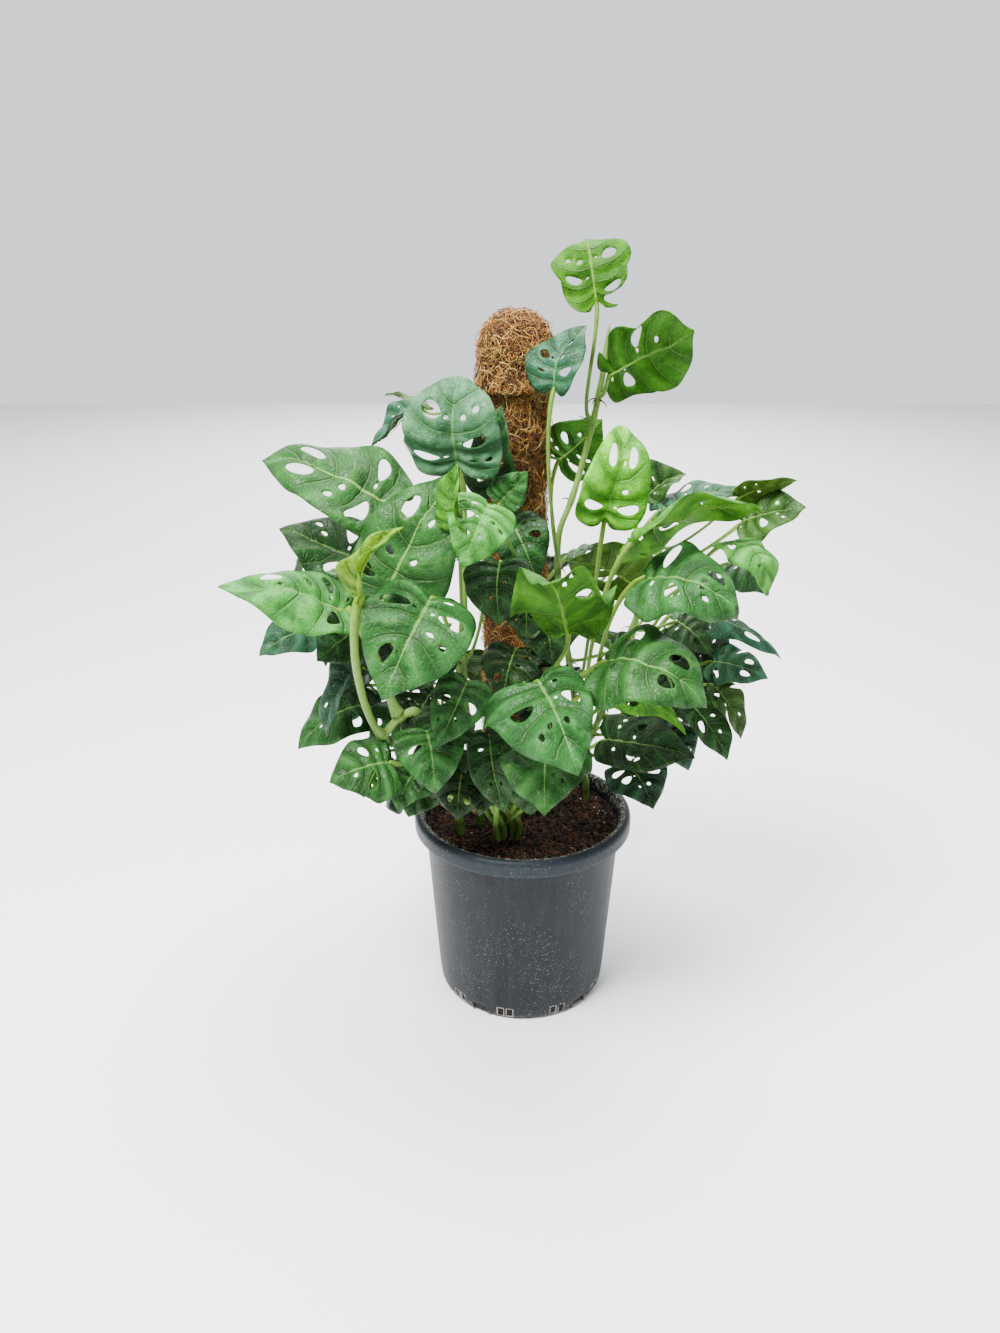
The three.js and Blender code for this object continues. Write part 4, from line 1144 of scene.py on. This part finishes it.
def cut(piece, tool, operation):
    modifier = piece.modifiers.new(operation, "BOOLEAN")
    modifier.operation = operation
    modifier.solver = "EXACT"
    modifier.object = tool
    apply_modifiers(piece)
    bpy.data.objects.remove(tool)


def apply_modifiers(piece):
    graph = bpy.context.evaluated_depsgraph_get()
    data = bpy.data.meshes.new_from_object(piece.evaluated_get(graph))
    piece.modifiers.clear()
    piece.data = data


def make_pot():
    """The moulded pot: its turned wall, with a rib over each foot channel, and the drain slots cut."""
    shell = turned("nursery_pot", pot_profile(), 144)
    angles = [DRAIN["first_angle"] + 360 * index / DRAIN["count"] for index in range(DRAIN["count"])]
    reach = POT["base_radius"] - POT["wall"] / 2
    start = DRAIN["start"] - POT["wall"]
    rib = (reach - start, DRAIN["width"] + 2 * POT["wall"], DRAIN["height"])
    rib_middle = ((reach + start) / 2, POT["floor"] + rib[2] / 2 - 0.2)
    cut(shell, blocks("ribs", [(rib, rib_middle, angle) for angle in angles]), "UNION")
    length = POT["rim_radius"] - DRAIN["start"]
    groove = (length, DRAIN["width"], 2 * DRAIN["height"])
    parts = [(groove, (DRAIN["start"] + length / 2, 0), angle) for angle in angles]
    middle = DRAIN["slot_sill"] + DRAIN["slot_height"] / 2
    slot = (8 * POT["wall"], DRAIN["slot_width"], DRAIN["slot_height"])
    for angle in angles:
        for pair in (-1, 1):
            for side in (-1, 1):
                turn = angle + pair * DRAIN["pair_offset"] + side * DRAIN["slot_spread"]
                parts.append((slot, (POT["base_radius"] + 0.5, middle), turn))
    cut(shell, blocks("openings", parts), "DIFFERENCE")
    bevel = shell.modifiers.new("edges", "BEVEL")
    bevel.width = 0.5 * MM
    bevel.segments = 2
    bevel.limit_method = "ANGLE"
    bevel.angle_limit = math.radians(50)
    apply_modifiers(shell)
    shell.data.shade_smooth()
    shell.data.materials.clear()
    shell.data.materials.append(POT_PLASTIC)
    hand_over(shell, "pot")


# ---- stage ---------------------------------------------------------------------------------------
def make_camera():
    data = bpy.data.cameras.new("camera")
    data.lens = 27.06
    data.sensor_width = 36
    camera = stand("camera", data)
    camera.location = (-0.025, -0.988, 0.760)
    camera.rotation_euler = (math.radians(90 - 20.9), 0, 0)
    bpy.context.scene.camera = camera


def make_sky():
    """A pale sky, stronger behind the plant than behind the camera."""
    world = bpy.data.worlds.new("sky")
    world.use_nodes = True
    tree = world.node_tree
    background = tree.nodes["Background"]
    background.inputs["Color"].default_value = rgb(0.94, 0.97, 1.0)
    toward = tree.nodes.new("ShaderNodeSeparateXYZ")
    tree.links.new(tree.nodes.new("ShaderNodeTexCoord").outputs["Generated"], toward.inputs[0])
    glow = tree.nodes.new("ShaderNodeMapRange")
    for socket, value in (("From Min", -0.2), ("From Max", 0.7), ("To Min", 0.46), ("To Max", 1.32)):
        glow.inputs[socket].default_value = value
    tree.links.new(toward.outputs["Y"], glow.inputs["Value"])
    tree.links.new(glow.outputs["Result"], background.inputs["Strength"])
    bpy.context.scene.world = world


# Name, place, target, size, power and colour of each area light.
LIGHTS = [
    ("key", (-0.9, -1.0, 2.4), (0, 0, 0.45), 0.9, 195, (1.0, 0.99, 0.96)),
    ("top", (0.3, 0.3, 2.7), (0, 0, 0.45), 1.3, 115, (1.0, 1.0, 1.0)),
    ("fill", (1.6, -1.4, 1.2), (0, 0, 0.45), 1.6, 10, (0.95, 0.98, 1.0)),
    ("far_floor", (0, 3.6, 2.4), (0, 3.6, 0), 3.0, 190, (1.0, 1.0, 1.0)),
]


def make_stage():
    data = bpy.data.meshes.new("floor")
    data.from_pydata([(-6, -6, 0), (6, -6, 0), (6, 6, 0), (-6, 6, 0)], [], [(0, 1, 2, 3)])
    data.materials.append(Nodes("floor_paint").finish(rgb(0.97, 0.97, 0.97), 0.7))
    stand("floor", data)
    make_sky()
    for name, place, target, size, power, color in LIGHTS:
        light = bpy.data.lights.new(name, "AREA")
        light.size = size
        light.energy = power
        light.color = color
        lamp = stand(name, light)
        lamp.location = place
        lamp.rotation_euler = (Vector(target) - Vector(place)).to_track_quat("-Z", "Y").to_euler()


# Leaves that fill the inside, the skirt and the rear, grown by rule and not one by one. Each row:
# name, stem, how many, range of the stem, heading in degrees (0 is +X), reach from the stem, rise above
# it, droop in degrees, width, how far the blade leans to the front (-) or the rear (+), looks.
GROWTH = [
    ("inner_front", "front", 8, (0.26, 0.84), (-125, -55), (18, 48), (15, 55), (52, 80), (50, 60), -0.2,
     ("dark", "dark", "mature")),
    ("inner_right", "right", 6, (0.17, 0.44), (-55, 30), (38, 75), (30, 75), (25, 60), (52, 74), -0.6,
     ("dark", "dark", "blue")),
    ("side_right", "rear_right", 10, (0.24, 0.84), (-62, 12), (50, 92), (0, 40), (25, 48), (54, 68), -0.5,
     ("dark", "mature", "dark", "blue")),
    ("inner_left", "left", 8, (0.22, 0.64), (185, 265), (30, 78), (5, 45), (30, 66), (54, 72), -0.5,
     ("dark", "dark", "mature")),
    ("side_left", "rear_left", 6, (0.40, 0.92), (176, 238), (48, 88), (0, 30), (28, 50), (52, 74), -0.5,
     ("dark", "blue", "dark")),
    ("skirt_left", "low_left", 4, (0.30, 0.55), (160, 250), (20, 50), (10, 35), (30, 55), (50, 60), -0.4,
     ("dark", "mature")),
    ("rear", "rear", 8, (0.15, 0.64), (45, 135), (36, 60), (-10, 25), (25, 50), (64, 80), 0.3,
     ("mature", "dark", "fresh", "blue")),
    ("rear_right", "rear_right", 4, (0.38, 0.72), (10, 70), (45, 72), (-5, 20), (15, 45), (58, 74), 0.2,
     ("mature", "olive", "dark")),
    ("rear_left", "rear_left", 4, (0.42, 0.72), (110, 175), (48, 74), (-5, 20), (15, 45), (62, 76), 0.2,
     ("dark", "mature")),
]


def grown_leaves():
    """The leaves of GROWTH: spread along their stems, headings spaced by the golden ratio."""
    golden = 0.618
    leaves = []
    for name, vine, count, shares, headings, reaches, rises, droops, widths, lean, looks in GROWTH:
        pick = random.Random("grow " + name)
        line = catmull(STEMS[vine][1], 201)
        for number in range(count):
            at = shares[0] + (shares[1] - shares[0]) * (number + 0.5) / count
            turn = (number * golden + pick.uniform(-0.06, 0.06)) % 1
            heading = math.radians(headings[0] + (headings[1] - headings[0]) * turn)
            droop = math.radians(pick.uniform(*droops))
            width = pick.uniform(*widths)
            out = np.array([math.cos(heading), math.sin(heading), 0.0])
            lift = np.array([0.0, 0.0, 1.0])
            base = line[int(at * 200)] + out * pick.uniform(*reaches) + lift * pick.uniform(*rises)
            tip = base + (out * math.cos(droop) - lift * math.sin(droop)) * width * 0.92
            face = out * math.sin(droop) + lift * math.cos(droop) + np.array([0.0, lean, 0.0])
            rows = [[row for row in (1, 2, 3, 4) if pick.random() < 0.5] for _ in range(2)]
            leaves.append(Leaf(f"{name}_{number + 1}", vine, at, base, tip, face, width,
                               pick.uniform(0.07, 0.16), pick.uniform(-8, 10), *rows, pick.choice(looks),
                               drawn_only=True))
    return leaves


# ---- the leaves ------------------------------------------------------------------------
# Each: name, stem, share of the stem, base, tip, facing, width, arch, cup, rows with a large hole on the
# left and on the right, look; then what else sets it apart, by the names of Leaf's fields.
LEAVES = [
    Leaf("crown", "right", 0.85, (65, 5, 745), (55, 40, 805), (0.1, 0.95, 0.1), 64, -0.12, 8, (2, 4), (3,),
         "sunlit", curl=-0.45, blunt=1.0, shoulder=0.22, splits=((0.30, -1, 0.7, 0.05),)),
    Leaf("crown_right", "right", 0.89, (80, 0, 680), (165, -15, 710), (-0.1, 0.8, 0.45), 72, 0.08, -6, (2,),
         (3,), "glossy", curl=-1.0, blunt=1.3, splits=((0.3, 1, 0.55, 0.03),)),
    Leaf("crown_left", "right", 0.6, (25, -30, 670), (55, 0, 725), (-0.6, -0.7, 0.4), 58, 0.12, 16, (3,),
         (2, 4), "blue"),
    Leaf("pole_right", "right", 0.6, (35, 50, 590), (80, 65, 630), (0.3, 0.9, 0.1), 60, 0.05, 6, (2,),
         (3,)),
    Leaf("bright", "right", 0.36, (70, -90, 560), (90, -95, 650), (0.2, -0.95, 0.15), 60, 0.06, 8, (2, 4),
         (2, 4), "bright", curl=1.3),
    Leaf("shelf", "right", 0.3, (95, -105, 545), (215, -60, 575), (0.05, 0.62, 0.78), 86, 0.05, -8, (3,),
         (2, 4), "fresh", curl=0.5),
    Leaf("shelf_back", "right", 0.5, (135, 0, 550), (220, 10, 570), (0.0, -0.2, 1), 60, 0.06, -8, (3,),
         (3,), "blue"),
    Leaf("far_right", "rear_right", 0.88, (215, -10, 540), (270, -30, 560), (0.0, -0.65, 0.8), 56, 0.05, 6,
         (), (3,), "olive"),
    Leaf("hook_right", "rear_right", 0.52, (190, -75, 535), (220, -110, 495), (0.5, -0.6, 0.6), 58, 0.24,
         -8, (3,), (2,), "light"),
    Leaf("broad_right", "right", 0.2, (105, -120, 515), (185, -160, 495), (0.15, -0.6, 0.8), 86, 0.18, -12,
         (2, 4), (3,), curl=0.6),
    Leaf("inner_right", "right", 0.27, (105, -40, 485), (40, -75, 520), (0.0, 0.75, 0.65), 72, 0.1, 5, (3,),
         (2,), "olive"),
    Leaf("cap_centre", "front", 0.62, (35, -150, 475), (10, -215, 540), (0.0, 0.5, 0.85), 84, 0.1, 10, (3,),
         (), "glossy", ruffle=2.4),
    Leaf("long_right", "front", 0.55, (70, -150, 445), (155, -200, 430), (0.1, -0.6, 0.8), 86, 0.16, -8,
         (2, 4), (4,), curl=0.5),
    Leaf("under_right", "front", 0.48, (65, -140, 415), (145, -160, 380), (-0.1, 0.6, 0.75), 66, 0.1, -5,
         (3,), (3,), "fresh"),
    Leaf("low_right", "front", 0.3, (80, -80, 335), (165, -110, 330), (0.0, -0.55, 0.83), 60, 0.08, 6, (3,),
         (3,), "dark"),
    Leaf("low_dark", "rear_right", 0.4, (175, -10, 345), (215, -35, 290), (0.4, -0.75, 0.5), 48, 0.1, 12,
         (), (3,), "dark"),
    Leaf("slender", "rear_right", 0.65, (180, 40, 425), (280, 30, 380), (0.25, -0.3, 0.95), 44, 0.14, -25,
         (3,), (2, 4), "blue"),
    Leaf("lace", "rear_right", 0.6, (200, 10, 385), (255, -15, 375), (0.0, -0.7, 0.75), 46, 0.14, -8,
         (2, 4), (2, 4), "blue", splits=((0.36, 1, 0.5, 0.02), (0.58, -1, 0.45, 0.02))),
    Leaf("front", "front", 0.6, (10, -150, 425), (40, -235, 380), (-0.1, -0.7, 0.7), 92, 0.12, -6, (1, 3),
         (3,), asym=(0.75, 1.2), curl=0.5),
    Leaf("front_low", "front", 0.35, (20, -125, 350), (15, -195, 315), (0.0, -0.65, 0.75), 80, 0.12, -6,
         (2,), (3,)),
    Leaf("foot_right", "front", 0.22, (-35, -105, 350), (-20, -130, 280), (-0.2, -0.8, 0.5), 44, 0.08, 10,
         (), (), "dark"),
    Leaf("left_mid", "front", 0.42, (-55, -125, 415), (-80, -160, 365), (-0.2, -0.8, 0.5), 52, 0.1, -8,
         (3,), (3,)),
    Leaf("broad_left", "left", 0.45, (-85, -155, 505), (-125, -205, 430), (0.0, -0.85, 0.5), 90, 0.1, -6,
         (2,), (2, 4)),
    Leaf("large_left", "left", 0.48, (-130, -130, 495), (-65, -100, 610), (-0.15, -0.85, 0.45), 88, 0.08,
         -5, (2, 4), (2,), curl=0.4),
    Leaf("tall_left", "left", 0.78, (-65, -50, 600), (-65, -70, 685), (-0.2, -0.95, 0.25), 84, 0.06, 8,
         (2, 4), (3,), "grey", curl=0.9, blunt=0.7),
    Leaf("behind_left", "left", 0.52, (-30, -40, 575), (-25, -30, 655), (-0.55, -0.8, 0.2), 52, 0.06, 16,
         (), (3,), "dark"),
    Leaf("knife_upper", "left", 1.0, (-100, 20, 645), (-140, 40, 655), (-0.1, 0.25, 0.95), 40, 0.1, 10, (),
         (), "olive"),
    Leaf("knife_lower", "left", 0.92, (-110, -10, 650), (-150, -20, 615), (-0.85, -0.2, 0.6), 46, -0.05, 18,
         (), (), "blue"),
    Leaf("wing_left", "left", 0.72, (-125, -70, 570), (-250, -40, 615), (-0.12, -0.5, 0.88), 88, 0.08, -4,
         (2, 4), (2, 4), curl=0.3),
    Leaf("dark_left", "rear_left", 0.8, (-145, -45, 495), (-240, -30, 540), (-0.15, -0.6, 0.8), 78, 0.06,
         -4, (3,), (3,), "dark"),
    Leaf("spear_left", "low_left", 0.89, (-165, -110, 480), (-270, -150, 515), (0.0, -0.4, 0.92), 80, 0.08,
         -8, (2,), (2, 4), "light", stalk=2.3),
    Leaf("young", "low_left", 0.97, (-145, -165, 510), (-105, -160, 570), (-0.55, -0.65, 0.4), 30, 0.24, 50,
         (), (), "lime", ruffle=3, stalk=2.7),
    Leaf("wing_low", "rear_left", 0.68, (-205, -50, 450), (-260, -70, 420), (-0.1, -0.6, 0.8), 52, 0.05, 8,
         (), (3,), "blue"),
    Leaf("shade_left", "rear_left", 0.55, (-155, -80, 455), (-200, -95, 425), (-0.1, -0.75, 0.6), 58, 0.05,
         8, (), (), "dark"),
    Leaf("low_left", "low_left", 0.6, (-130, -130, 335), (-185, -150, 325), (0.0, -0.6, 0.8), 66, 0.14, -8,
         (3,), (3,)),
    Leaf("arch_left", "low_left", 0.55, (-165, -50, 360), (-230, -70, 320), (0.1, -0.5, 0.85), 56, 0.16, -6,
         (2,), (3,)),
    Leaf("low_mid", "low_left", 0.52, (-95, -120, 365), (-85, -170, 325), (0.0, -0.7, 0.7), 62, 0.1, -6,
         (3,), (3,), curl=0.6),
    Leaf("heart", "front", 0.85, (-35, -125, 580), (-55, -170, 540), (0.1, -0.9, 0.4), 56, 0.1, -5, (),
         (3,), "light", curl=0.6),
    Leaf("back_upper", "rear", 0.95, (-12, 100, 600), (-8, 115, 515), (0, 0.95, 0.2), 62, 0.08, 6, (2,),
         (3,)),
    Leaf("back_left_high", "rear", 0.6, (-60, 118, 480), (-135, 150, 465), (-0.1, 0.4, 0.9), 84, 0.14, -6,
         (3,), (2, 4), "blue"),
    Leaf("back_right_high", "rear", 0.55, (52, 122, 470), (130, 150, 460), (0.1, 0.4, 0.9), 82, 0.14, -6,
         (2, 4), (2,)),
    Leaf("back_centre", "rear", 0.47, (-5, 135, 455), (8, 194, 386), (0, 0.75, 0.65), 90, 0.12, -6, (2,),
         (2, 4), "blue"),
    Leaf("back_left_low", "rear_left", 0.4, (-105, 105, 390), (-165, 150, 345), (-0.3, 0.5, 0.8), 76, 0.12,
         -6, (3,), (4,)),
    Leaf("back_right_low", "rear", 0.34, (70, 125, 380), (120, 180, 330), (0.3, 0.5, 0.8), 80, 0.12, -6,
         (2,), (3,)),
    Leaf("back_low", "rear", 0.22, (-35, 130, 350), (-50, 185, 285), (-0.1, 0.75, 0.65), 80, 0.1, -6, (3,),
         (2,), "dark"),
    Leaf("side_left", "rear_left", 0.72, (-165, 50, 465), (-240, 80, 445), (-0.2, 0.2, 0.95), 78, 0.12, -6,
         (4,), (2,)),
    Leaf("side_right", "rear_right", 0.45, (165, 75, 415), (230, 105, 390), (0.3, 0.3, 0.9), 74, 0.12, -6,
         (2,), (3,)),
    # Small ones that the solid model leaves out.
    Leaf("shelf_tip", "rear_right", 0.95, (210, -10, 565), (260, -25, 585), (0.1, 0.7, 0.7), 34, 0.04, -8,
         (), (), "olive", drawn_only=True),
    Leaf("rolled", "rear_right", 0.8, (125, 30, 555), (165, 40, 580), (-0.2, -0.6, 0.8), 50, 0.16, 30, (),
         (), "olive", drawn_only=True),
    Leaf("claw", "rear_right", 0.5, (200, -10, 365), (230, -25, 310), (0.5, -0.8, 0.2), 34, 0.1, 18, (),
         (2,), "olive", splits=((0.4, -1, 0.5, 0.02), (0.6, 1, 0.4, 0.02)), drawn_only=True),
    Leaf("foot_left", "front", 0.16, (-35, -85, 305), (-45, -110, 265), (-0.3, -0.85, 0.4), 38, 0.08, 10,
         (), (), "dark", drawn_only=True),
    Leaf("wing_back", "rear_left", 0.74, (-200, -10, 445), (-250, -20, 450), (-0.1, -0.5, 0.85), 40, 0.05,
         8, drawn_only=True),
    Leaf("blue_left", "rear_left", 0.45, (-165, -85, 415), (-195, -95, 345), (-0.75, -0.55, 0.2), 38, 0.08,
         20, (), (), "blue", drawn_only=True),
    Leaf("hang_left", "low_left", 0.62, (-150, -70, 300), (-165, -80, 270), (0.3, 0.9, 0.2), 32, 0.05, 10,
         (), (3,), drawn_only=True),
    Leaf("fold_centre", "left", 0.58, (-60, -140, 565), (-60, -145, 620), (-0.75, -0.6, 0.1), 40, 0.05, 30,
         (), (), "fresh", drawn_only=True),
    Leaf("small_pole", "front", 0.95, (-25, -60, 570), (0, -70, 600), (0.0, -0.9, 0.4), 34, 0.05, 8,
         drawn_only=True),
    Leaf("inner_upper", "front", 0.9, (-15, -55, 550), (10, -85, 500), (0.1, -0.85, 0.5), 52, 0.08, 6, (3,),
         (), "dark", drawn_only=True),
    Leaf("inner_centre", "front", 0.75, (-25, -90, 520), (-25, -110, 465), (-0.2, -0.9, 0.4), 58, 0.08, 8,
         (), (), "dark", drawn_only=True),
]


# ---- everything ------------------------------------------------------------------------------------
make_camera()
make_stage()
make_pot()
make_soil()
make_soil_bits()
make_rim_crust()
make_wrap_body("coir_wrap", SOIL_TOP - 15, POLE["cap_foot"] + 2, "coir_sleeve")
make_wrap_body("coir_cap_pad", POLE["cap_foot"], POLE["top"] - 1, "coir_cap")
thin = 1
for name, low, high, count, brightness, seed in (
        ("coir_strands_foot", SOIL_TOP - 5, 400, 3500, 1.25, 11),
        ("coir_strands_lower", 400, 500, 3500, 1.35, 12),
        ("coir_strands_upper", 500, 590, 3800, 1.25, 13),
        ("coir_strands_neck", 590, 665, 3800, 1.25, 14),
        ("coir_strands_cap", 655, 710, 3800, 1.38, 15),
        ("coir_strands_dome", 700, POLE["top"], 2600, 1.35, 16)):
    make_fibres(name, low, high, count // thin, brightness, seed)
leaves = LEAVES + grown_leaves()
for stem_name in STEMS:
    make_stem(stem_name, leaves)
make_shoots()
make_dry_stem()
for each in leaves:
    make_leaf(each)
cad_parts["pole_core"].data.materials.clear()
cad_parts["pole_core"].data.materials.append(CORE_TUBE)
